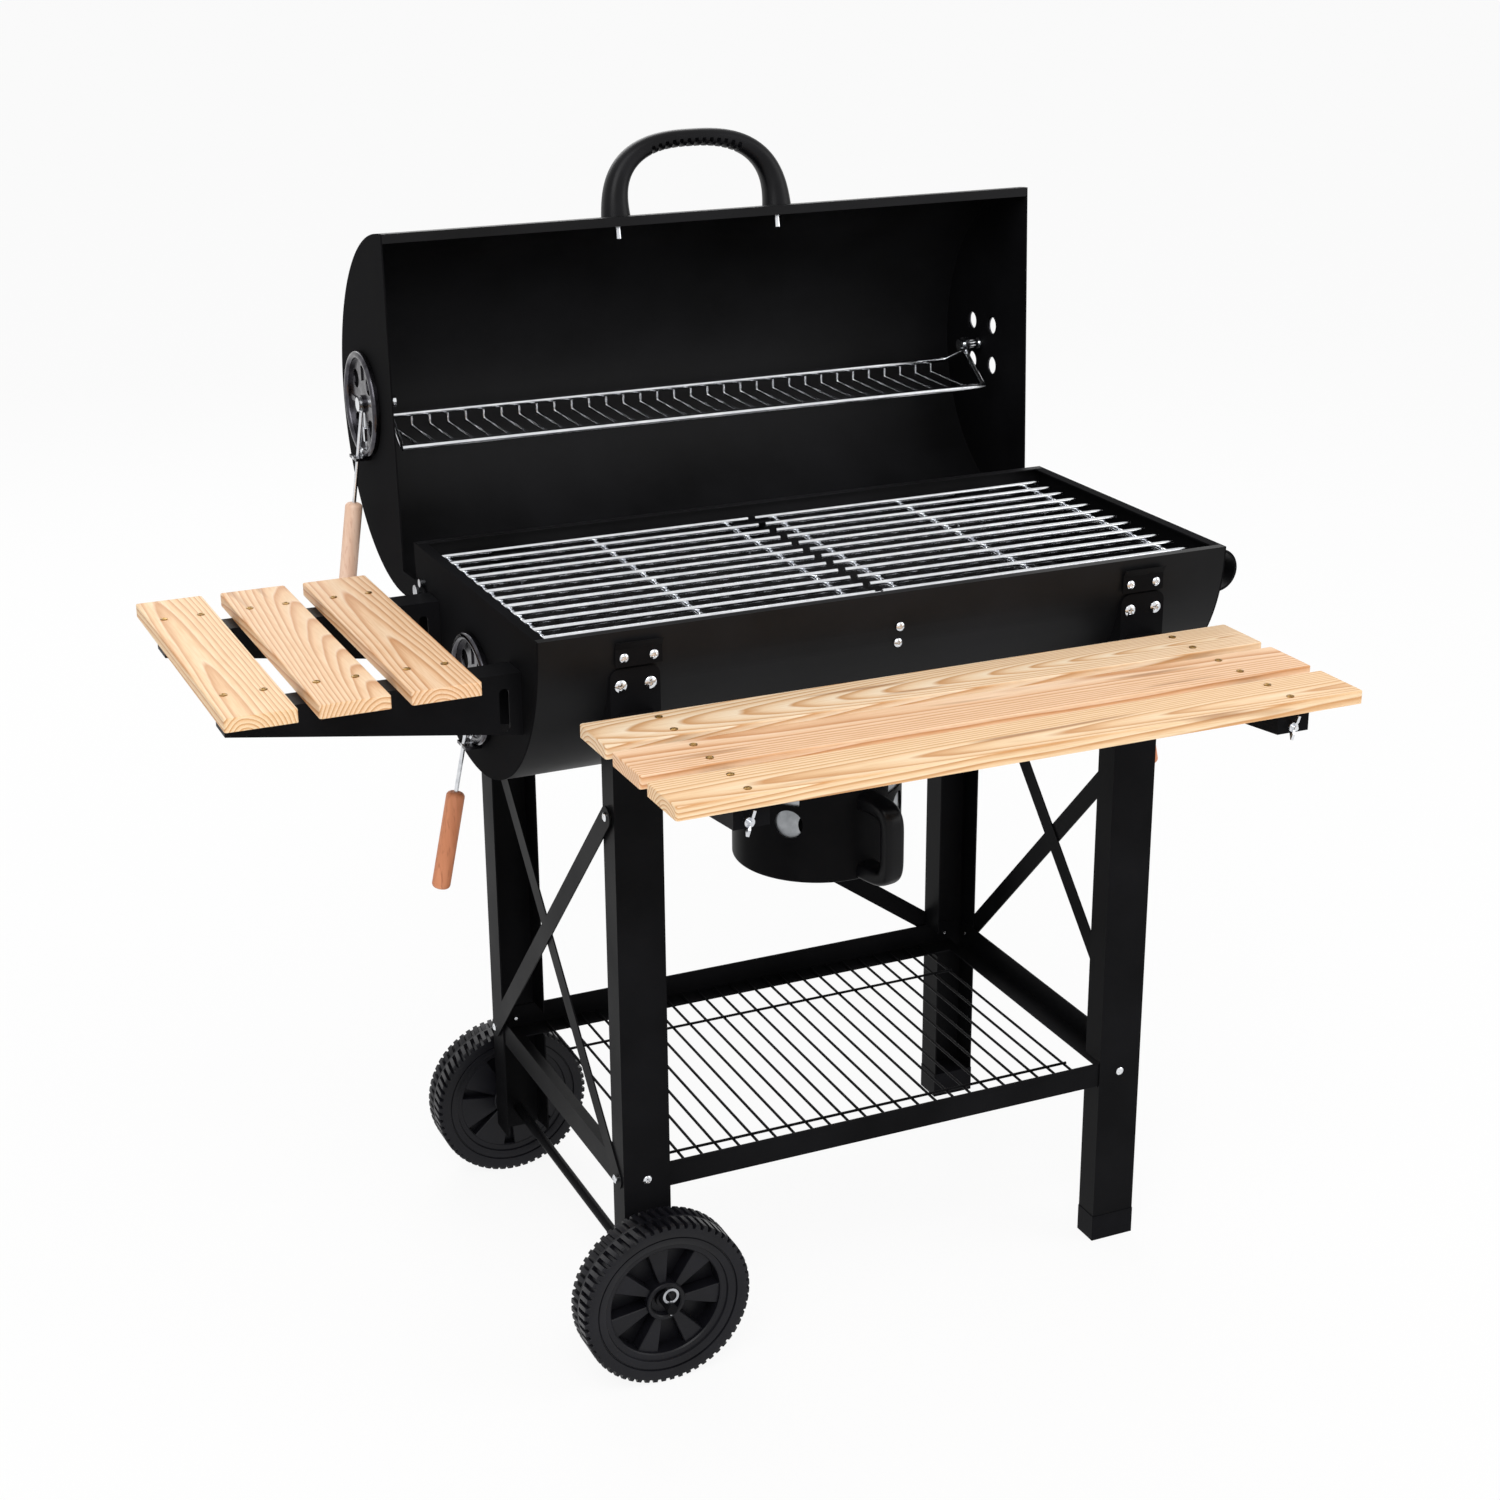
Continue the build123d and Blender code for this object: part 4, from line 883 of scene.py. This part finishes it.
@dataclass
class MouldedArch:
    """Moulded handle: a bar bent to an arch, thick at its feet, with finger ribs under its middle.

    Sizes are millimetres. The arch stands on a base line and rises away from it.
    """

    node: str
    span: float
    rise: float
    squareness: float
    foot: Span
    bar: Span
    section: float
    ribs: int = 0
    rib_depth: float = 0.0
    rib_share: float = 0.4
    rib_flank: Span = (-0.1, 0.25)
    rib_side: Span = (0.05, 0.55)
    sink: float = 0.6
    swell: float = 2.2
    crease: float = 50.0

    def outline(self, count: int, fine: int = 2000) -> np.ndarray:
        """Work out the middle line of the arch.

        It is the upper half of a superellipse, walked in even steps along its length.

        Args:
            count: How many places along it.
            fine: How many places its length is measured on.

        Returns:
            Points of shape (count, 2): along the base line, and up from it.
        """
        turn = np.linspace(np.pi, 0, fine)
        power = 2 / self.squareness
        along = self.span / 2 * np.sign(np.cos(turn)) * np.abs(np.cos(turn)) ** power
        up = (self.rise + self.sink) * np.abs(np.sin(turn)) ** power - self.sink
        length = np.concatenate([[0], np.cumsum(np.hypot(np.diff(along), np.diff(up)))])
        even = np.linspace(0, length[-1], count)
        return np.stack([np.interp(even, length, along), np.interp(even, length, up)], -1)

    def surface(self, count: int = 640, columns: int = 40) -> Shell:
        """Carry the bar's section along the arch.

        The section is a superellipse whose two half widths grow from the middle to the feet. The
        ribs are a square wave along the middle part that pulls in only the section's inner half.

        Args:
            count: Places along the arch.
            columns: Places around the section.

        Returns:
            Points (along the base, up, sideways) of shape (count, columns, 3), and faces with both
            ends closed.
        """
        line = self.outline(count)
        way = np.gradient(line, axis=0)
        way /= np.linalg.norm(way, axis=1, keepdims=True)
        outward = np.stack([-way[:, 1], way[:, 0]], -1)
        share = np.linspace(-1, 1, count)
        grown = np.abs(share) ** self.swell
        deep = self.bar[0] + (self.foot[0] - self.bar[0]) * grown
        wide = self.bar[1] + (self.foot[1] - self.bar[1]) * grown
        turn = np.linspace(0, 2 * np.pi, columns, endpoint=False)
        power = 2 / self.section
        lift = np.sign(np.cos(turn)) * np.abs(np.cos(turn)) ** power
        aside = np.sign(np.sin(turn)) * np.abs(np.sin(turn)) ** power
        if self.ribs:
            wave = np.sin(share / self.rib_share * self.ribs * np.pi)
            notch = smooth_step(wave, *self.rib_flank) * (np.abs(share) < self.rib_share)
            inner = smooth_step(-np.cos(turn), *self.rib_side)
            pull = self.rib_depth * notch[:, None] * inner[None, :]
        else:
            pull = np.zeros((count, columns))
        reach = deep[:, None] * lift[None, :] + pull
        points = np.stack(
            [
                line[:, :1] + outward[:, :1] * reach,
                line[:, 1:] + outward[:, 1:] * reach,
                wide[:, None] * aside[None, :],
            ],
            -1,
        )
        ends = np.stack([points[0].mean(0), points[-1].mean(0)])
        points = np.concatenate([points.reshape(-1, 3), ends])
        ring = np.arange(columns)
        beside = np.roll(ring, -1)
        first, last = count * columns, count * columns + 1
        start = np.stack([np.full(columns, first), beside, ring, ring], -1)
        stop = np.stack([np.full(columns, last), ring, beside, beside], -1)
        stop[:, 1:] += (count - 1) * columns
        return points, np.concatenate([grid_faces(count, columns), start, stop])

    def build(self, base: Vector, along: Vector, up: Vector) -> None:
        """Make the handle in its place and let it stand for its CAD node.

        Args:
            base: Middle of the base line, in the shared frame.
            along: Direction of the base line.
            up: Direction in which the arch rises.
        """
        points, faces = self.surface()
        axes = np.array([along, up, along.cross(up)])
        shell = (points * MM @ axes + np.array(base), faces)
        piece = new_piece(f"{self.node}_moulded", [shell], PLASTIC, self.crease)
        stand_for(piece, self.node)


@dataclass
class CrossScrews:
    """A set of screws with a round head and a pressed cross recess, one at each lump of a CAD node.

    Sizes are millimetres. The cross is drawn for a head of cross_head radius, and grows with it.
    """

    node: str
    finish: Finish
    dome: float
    cross_head: float = 4.2
    arm_share: float = 0.62
    arm_half: float = 0.75
    recess: float = 1.1
    crown_rows: int = 12
    columns: int = 48
    seed: int = 5

    def shape(self, head: float, height: float, shank: float, reach: float) -> np.ndarray:
        """Work out one screw along its own axis, with its head's seat at height 0.

        A profile from the tip to the crown is carried around the axis. The crown is a flat dome,
        and inside the arms of the cross it is pressed down, deeper towards the middle.

        Args:
            head: Radius of the head.
            height: Height of the head.
            shank: Radius of the shank.
            reach: Length of the shank below the head.

        Returns:
            Points of shape (rows, columns, 3).
        """
        share = np.linspace(1, 0, self.crown_rows) ** 0.8
        crown = height - self.dome * share**2.5
        tip = [(0.0, -reach), (0.7 * shank, -reach), (shank, -reach + shank)]
        seat = [(shank, 0.0), (head, 0.0)]
        profile = np.concatenate([tip, seat, np.stack([head * share, crown], -1)])
        points = revolved(profile, self.columns)
        x, y = points[..., 0], points[..., 1]
        arm = self.arm_half * head / self.cross_head
        long = self.arm_share * head
        near = np.minimum(np.abs(x), np.abs(y))
        far = np.maximum(np.abs(x), np.abs(y))
        inside = 1 - smooth_step(near, 0.8 * arm, 1.2 * arm)
        inside *= 1 - smooth_step(far, 0.85 * long, long)
        deep = self.recess * head / self.cross_head * (1 - 0.5 * far / long)
        on_crown = np.arange(len(profile))[:, None] >= len(profile) - self.crown_rows
        points[..., 2] -= np.where(on_crown, inside * np.clip(deep, 0, None), 0)
        return points

    def seated(self, lump: np.ndarray, centre: np.ndarray, turn: float) -> np.ndarray:
        """Measure a lump of the CAD node and put a screw in its place.

        The axis is the lump's longest side. The head is its widest part, and the seat is the lowest
        level of that part.

        Args:
            lump: Corners of the lump, in metres.
            centre: Middle of the barrel. Heads point up, or away from it.
            turn: How far the cross is turned, in radians.

        Returns:
            Points of shape (rows, columns, 3), in the shared frame.
        """
        low, high = lump.min(0), lump.max(0)
        middle = (low + high) / 2
        size = high - low
        axis = int(np.argmax(size))
        sign = 1.0 if axis == 2 or middle[axis] > centre[axis] else -1.0
        side = [one for one in range(3) if one != axis]
        head = size[side].max() / 2 / MM
        level = (lump[:, axis] - middle[axis]) * sign
        radius = np.hypot(*(lump[:, side] - middle[side]).T) / MM
        seat = level[radius > 0.9 * head].min()
        shank = radius[level < level.min() + 1e-5].max()
        shape = self.shape(head, (level.max() - seat) / MM, shank, (seat - level.min()) / MM)
        x = shape[..., 0] * math.cos(turn) - shape[..., 1] * math.sin(turn)
        y = shape[..., 0] * math.sin(turn) + shape[..., 1] * math.cos(turn)
        points = np.empty(shape.shape)
        points[..., side[0]] = x * MM + middle[side[0]]
        points[..., side[1]] = y * MM + middle[side[1]]
        points[..., axis] = (shape[..., 2] * MM + seat) * sign + middle[axis]
        return points

    def build(self) -> None:
        """Put a screw at each lump, and let the set stand for the CAD node."""
        draw = np.random.default_rng(self.seed)
        low, high = (np.array(corner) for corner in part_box("barrel_shell"))
        shells = []
        for lump in islands(self.node):
            points = self.seated(lump, (low + high) / 2, draw.uniform(0, np.pi / 2))
            shells.append((points, grid_faces(*points.shape[:2])))
        stand_for(new_piece(f"{self.node}_crossed", shells, self.finish), self.node)


# The grill, sub-assembly by sub-assembly


def dress_by_slot() -> None:
    """Give each CAD node the finish of its slot in the record. Planks get theirs later."""
    finishes = {
        "black_paint": HEAT_PAINT,
        "chrome_wire": CHROME,
        "bright_steel": PRESSED_CHROME,
        "black_plastic": PLASTIC,
        "turned_grip": BEECH_PALE,
    }
    for part in frame["record"]["subparts"]:
        node, slot = part["node"], part["material_slot"]
        if slot in finishes:
            dress_node(node, finishes[slot])
        log.info("%s: %s", node, slot)


class Assembly:
    """A sub-assembly of the grill, or the studio around it."""

    def build(self) -> None:
        """Dress its CAD nodes and make its own pieces."""
        raise NotImplementedError


@dataclass
class Tables(Assembly):
    """Two tables of three pine planks each, screwed to their arms."""

    front_tilts: Triple = (38.0, 5.0, 14.0)
    side_tilts: Triple = (9.0, 36.0, 7.0)
    pith_across_mm: Triple = (4.0, -26.0, 12.0)
    pith_below_mm: Triple = (20.0, 34.0, 16.0)
    front_tints: tuple[str, str, str] = ("#ffffff", "#fdf0ea", "#fff9ef")
    side_tints: tuple[str, str, str] = ("#f9ede4", "#fbf1e8", "#fff8ec")
    screw_dome: float = 0.5

    def build(self) -> None:
        """Give each plank its own cut of the trunk, and the screws their zinc."""
        tables = (
            ("front", Grain.X, self.front_tilts, self.front_tints),
            ("side", Grain.Y, self.side_tilts, self.side_tints),
        )
        for table, grain, tilts, tints in tables:
            for number, (tilt, tint) in enumerate(zip(tilts, tints)):
                node = f"{table}_plank_{number + 1}"
                low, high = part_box(node)
                board = PineBoard(
                    f"planed_pine_{node}",
                    grain=grain,
                    middle=tuple((low + high) / 2),
                    tilt=tilt,
                    pith_mm=(self.pith_across_mm[number], self.pith_below_mm[number]),
                    tint=tint,
                )
                dress_node(node, board)
        CrossScrews("plank_screws", YELLOW_ZINC, dome=self.screw_dome).build()


@dataclass
class Barrel(Assembly):
    """Barrel and lid: their painted halves, the dampers, the ash sleeve and the barrel's screws."""

    halves: tuple[str, ...] = ("barrel", "lid")
    dampers: tuple[str, ...] = ("barrel_left", "barrel_right", "lid_left", "lid_right")
    lever_half_mm: float = 2.3
    lever_from_mm: float = 59.0
    screw_dome: float = 1.6

    def build(self) -> None:
        """Paint both halves, dress the dampers with their levers and grips, and put the screws in.

        A lever hangs in the middle of its damper. It starts a little under the disc's middle, which
        is lever_from_mm below the top of the disc. The sleeve is bare where the cup covers it.
        """
        for half in self.halves:
            dress_node(f"{half}_shell", SHELL_PAINT)
            dress_node(f"{half}_left_end", END_PAINT)
            dress_node(f"{half}_right_end", END_PAINT)
        for name in self.dampers:
            low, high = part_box(f"{name}_damper")
            lever = (
                None,
                ((low.y + high.y) / 2, self.lever_half_mm * MM),
                (low.z, high.z - low.z - self.lever_from_mm * MM),
            )
            # The disc's dark tint is partly painted reflection of dark surroundings, and the lever
            # stripe stays chrome
            plated = PartPlated(f"plated_{name}_damper", NICKEL_WITH_PAINTED_REFLECTION, CHROME, lever)
            dress_node(f"{name}_damper", plated)
            dress_node(f"{name}_grip", BEECH_PALE if name.startswith("lid") else BEECH_STAINED)
        low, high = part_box("ash_cup")
        covered = (None, None, (low.z, high.z - low.z))
        sleeve = PartPlated("sleeve_bare_inside_cup", BLACKENED, GALVANISED, covered)
        dress_node("ash_sleeve", sleeve)
        CrossScrews("barrel_screws", CHROME, dome=self.screw_dome).build()


@dataclass
class Handles(Assembly):
    """Moulded handles of the lid and of the ash cup.

    Angles are degrees: the lid handle's rise from level, and the cup handle's way from the row's X.
    """

    lid_rise: float = 79.0
    lid_bar_mm: float = 10.0
    cup_way: float = -80.0

    def lid_handle(self) -> None:
        """Stand the ribbed arch where the CAD handle stands, by its highest and hindmost edge."""
        arch = MouldedArch(
            "lid_handle",
            span=176.0,
            rise=72.0,
            squareness=2.6,
            foot=(14.5, 13.0),
            bar=(8.6, 11.0),
            section=2.4,
            ribs=13,
            rib_depth=3.0,
        )
        low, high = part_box(arch.node)
        angle = math.radians(self.lid_rise)
        up = Vector((0.0, math.cos(angle), math.sin(angle)))
        bar = self.lid_bar_mm * MM
        reach = arch.rise * MM * up + Vector((0.0, bar, bar))
        base = Vector(((low.x + high.x) / 2, high.y - reach.y, high.z - reach.z))
        arch.build(base, Vector((1.0, 0.0, 0.0)), up)

    def cup_handle(self) -> None:
        """Stand the upright arch on the cup's wall, at the CAD handle's height."""
        arch = MouldedArch(
            "ash_cup_handle",
            span=72.0,
            rise=40.0,
            squareness=5.0,
            foot=(9.0, 12.0),
            bar=(8.0, 11.0),
            section=3.6,
        )
        low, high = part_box(arch.node)
        cup_low, cup_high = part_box("ash_cup")
        middle = (cup_low + cup_high) / 2
        angle = math.radians(self.cup_way)
        out = Vector((math.cos(angle), math.sin(angle), 0.0))
        wall = (cup_high.x - cup_low.x) / 2
        base = Vector((middle.x, middle.y, (low.z + high.z) / 2)) + wall * out
        arch.build(base, Vector((0.0, 0.0, 1.0)), out)

    def build(self) -> None:
        """Build both handles."""
        self.lid_handle()
        self.cup_handle()


@dataclass
class Cart(Assembly):
    """Cart frame, wheels and bolts."""

    front_spoke: float = 96.0
    rear_spoke: float = 60.0
    bolt_dome: float = 1.4
    bolt_seed: int = 11

    def build(self) -> None:
        """Put the moulded wheels on the axle and the bolts in the frame."""
        dress_node("axle", HEAT_PAINT)
        dress_node("foot_caps", CAP_PLASTIC)
        dress_node("hinge_bolts", PRESSED_CHROME)
        CartWheel("front_wheel", outward=-1, first_spoke=self.front_spoke).build()
        CartWheel("rear_wheel", outward=1, first_spoke=self.rear_spoke).build()
        CrossScrews("frame_bolts", CHROME, dome=self.bolt_dome, seed=self.bolt_seed).build()


@dataclass(frozen=True)
class SoftBox:
    """Square lamp, placed from the floor point under the barrel's middle, in metres and watts."""

    name: str
    place: Triple
    size: float
    power: float


@dataclass
class Studio(Assembly):
    """Plain pale floor, soft light and the camera at the photo's place.

    Places are measured from the floor point under the barrel's middle, in metres. All lamps look at
    the point aim_height above it. The camera's tip, turn and roll are degrees.
    """

    camera_place: Triple = (-1.0203, -2.1188, 1.3991)
    camera_turn: Triple = (69.6, -24.1, -0.4)
    camera_reach: float = 100.0
    focal_pixels: float = 2524.6
    image_pixels: float = 1500.0
    sensor_mm: float = 36.0
    floor_half: float = 30.0
    floor_colour: str = "#f2f2f2"
    floor_glow: float = 0.9
    white: str = "#ffffff"
    world_light: float = 0.62
    aim_height: float = 0.7
    boxes: tuple[SoftBox, ...] = (
        SoftBox("key_box", (-1.4, -2.4, 3.3), size=2.4, power=75.0),
        SoftBox("fill_box", (2.8, -1.8, 2.0), size=2.0, power=28.0),
        SoftBox("back_box", (0.4, 2.8, 2.6), size=2.4, power=36.0),
    )

    def floor(self) -> None:
        """Lay a wide pale floor that shows white to the camera and keeps a faint shadow."""
        half = self.floor_half
        mesh = bpy.data.meshes.new("pale_floor")
        mesh.from_pydata(
            [(-half, -half, 0.0), (half, -half, 0.0), (half, half, 0.0), (-half, half, 0.0)],
            [],
            [(0, 1, 2, 3)],
        )
        material = bpy.data.materials.new("pale_studio_floor")
        material.use_nodes = True
        tree = material.node_tree
        tree.nodes.clear()
        paper = add_node(tree, "ShaderNodeBsdfDiffuse", {"Color": linear(self.floor_colour)})
        glow = add_node(
            tree, "ShaderNodeEmission", {"Color": linear(self.white), "Strength": 1.0}
        )
        share = maths(tree, "MULTIPLY", self.seen_share(tree), self.floor_glow)
        shown = add_node(
            tree, "ShaderNodeMixShader", {0: share, 1: paper.outputs[0], 2: glow.outputs[0]}
        )
        add_node(tree, "ShaderNodeOutputMaterial", {"Surface": shown.outputs[0]})
        mesh.materials.append(material)
        floor = bpy.data.objects.new("pale_floor", mesh)
        bpy.context.scene.collection.objects.link(floor)

    def seen_share(self, tree: Tree) -> Socket:
        """Find the rays that show the background: direct, in a reflection or through glass.

        Args:
            tree: The tree to add to.

        Returns:
            1 on such rays and 0 on all others.
        """
        path = add_node(tree, "ShaderNodeLightPath").outputs
        shown = maths(tree, "MAXIMUM", path["Is Camera Ray"], path["Is Glossy Ray"])
        return maths(tree, "MAXIMUM", shown, path["Is Transmission Ray"])

    def world(self) -> None:
        """Surround the object with even light, which shows white where it is seen."""
        world = bpy.data.worlds.new("studio")
        bpy.context.scene.world = world
        world.use_nodes = True
        tree = world.node_tree
        tree.nodes.clear()
        strength = spread(tree, self.seen_share(tree), (0.0, 1.0), (self.world_light, 1.0))
        light = add_node(
            tree, "ShaderNodeBackground", {"Color": linear(self.white), "Strength": strength}
        )
        add_node(tree, "ShaderNodeOutputWorld", {"Surface": light.outputs[0]})

    def lamp(self, box: SoftBox, under: Vector) -> None:
        """Hang a soft box.

        Args:
            box: The lamp to hang.
            under: Floor point under the barrel's middle.
        """
        data = bpy.data.lights.new(box.name, "AREA")
        data.size = box.size
        data.energy = box.power
        lamp = bpy.data.objects.new(box.name, data)
        place = under + Vector(box.place)
        target = under + Vector((0.0, 0.0, self.aim_height))
        turn = (target - place).to_track_quat("-Z", "Y").to_matrix().to_4x4()
        lamp.matrix_world = Matrix.Translation(place) @ turn
        bpy.context.scene.collection.objects.link(lamp)

    def camera(self, under: Vector) -> None:
        """Set the camera where the photo was taken from.

        Args:
            under: Floor point under the barrel's middle.
        """
        data = bpy.data.cameras.new("photo_camera")
        data.sensor_width = self.sensor_mm
        data.lens = self.focal_pixels / self.image_pixels * self.sensor_mm
        data.dof.use_dof = False
        data.clip_end = self.camera_reach
        camera = bpy.data.objects.new("photo_camera", data)
        tip, turn, roll = (math.radians(angle) for angle in self.camera_turn)
        camera.matrix_world = (
            Matrix.Translation(under + Vector(self.camera_place))
            @ Matrix.Rotation(turn, 4, "Z")
            @ Matrix.Rotation(tip, 4, "X")
            @ Matrix.Rotation(roll, 4, "Z")
        )
        bpy.context.scene.collection.objects.link(camera)
        bpy.context.scene.camera = camera

    def build(self) -> None:
        """Build floor, light and camera around the barrel."""
        low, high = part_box("barrel_shell")
        under = Vector(((low.x + high.x) / 2, (low.y + high.y) / 2, 0.0))
        self.floor()
        self.world()
        for box in self.boxes:
            self.lamp(box, under)
        self.camera(under)
        bpy.context.scene.view_settings.view_transform = "Standard"


def main() -> None:
    """Dress the CAD nodes, build the moulded pieces, and set up the studio."""
    logging.basicConfig(level=logging.INFO, format="%(message)s")
    dress_by_slot()
    assemblies: tuple[Assembly, ...] = (Tables(), Barrel(), Handles(), Cart(), Studio())
    for assembly in assemblies:
        assembly.build()
    bpy.context.view_layer.update()


if __name__ == "__main__":
    main()
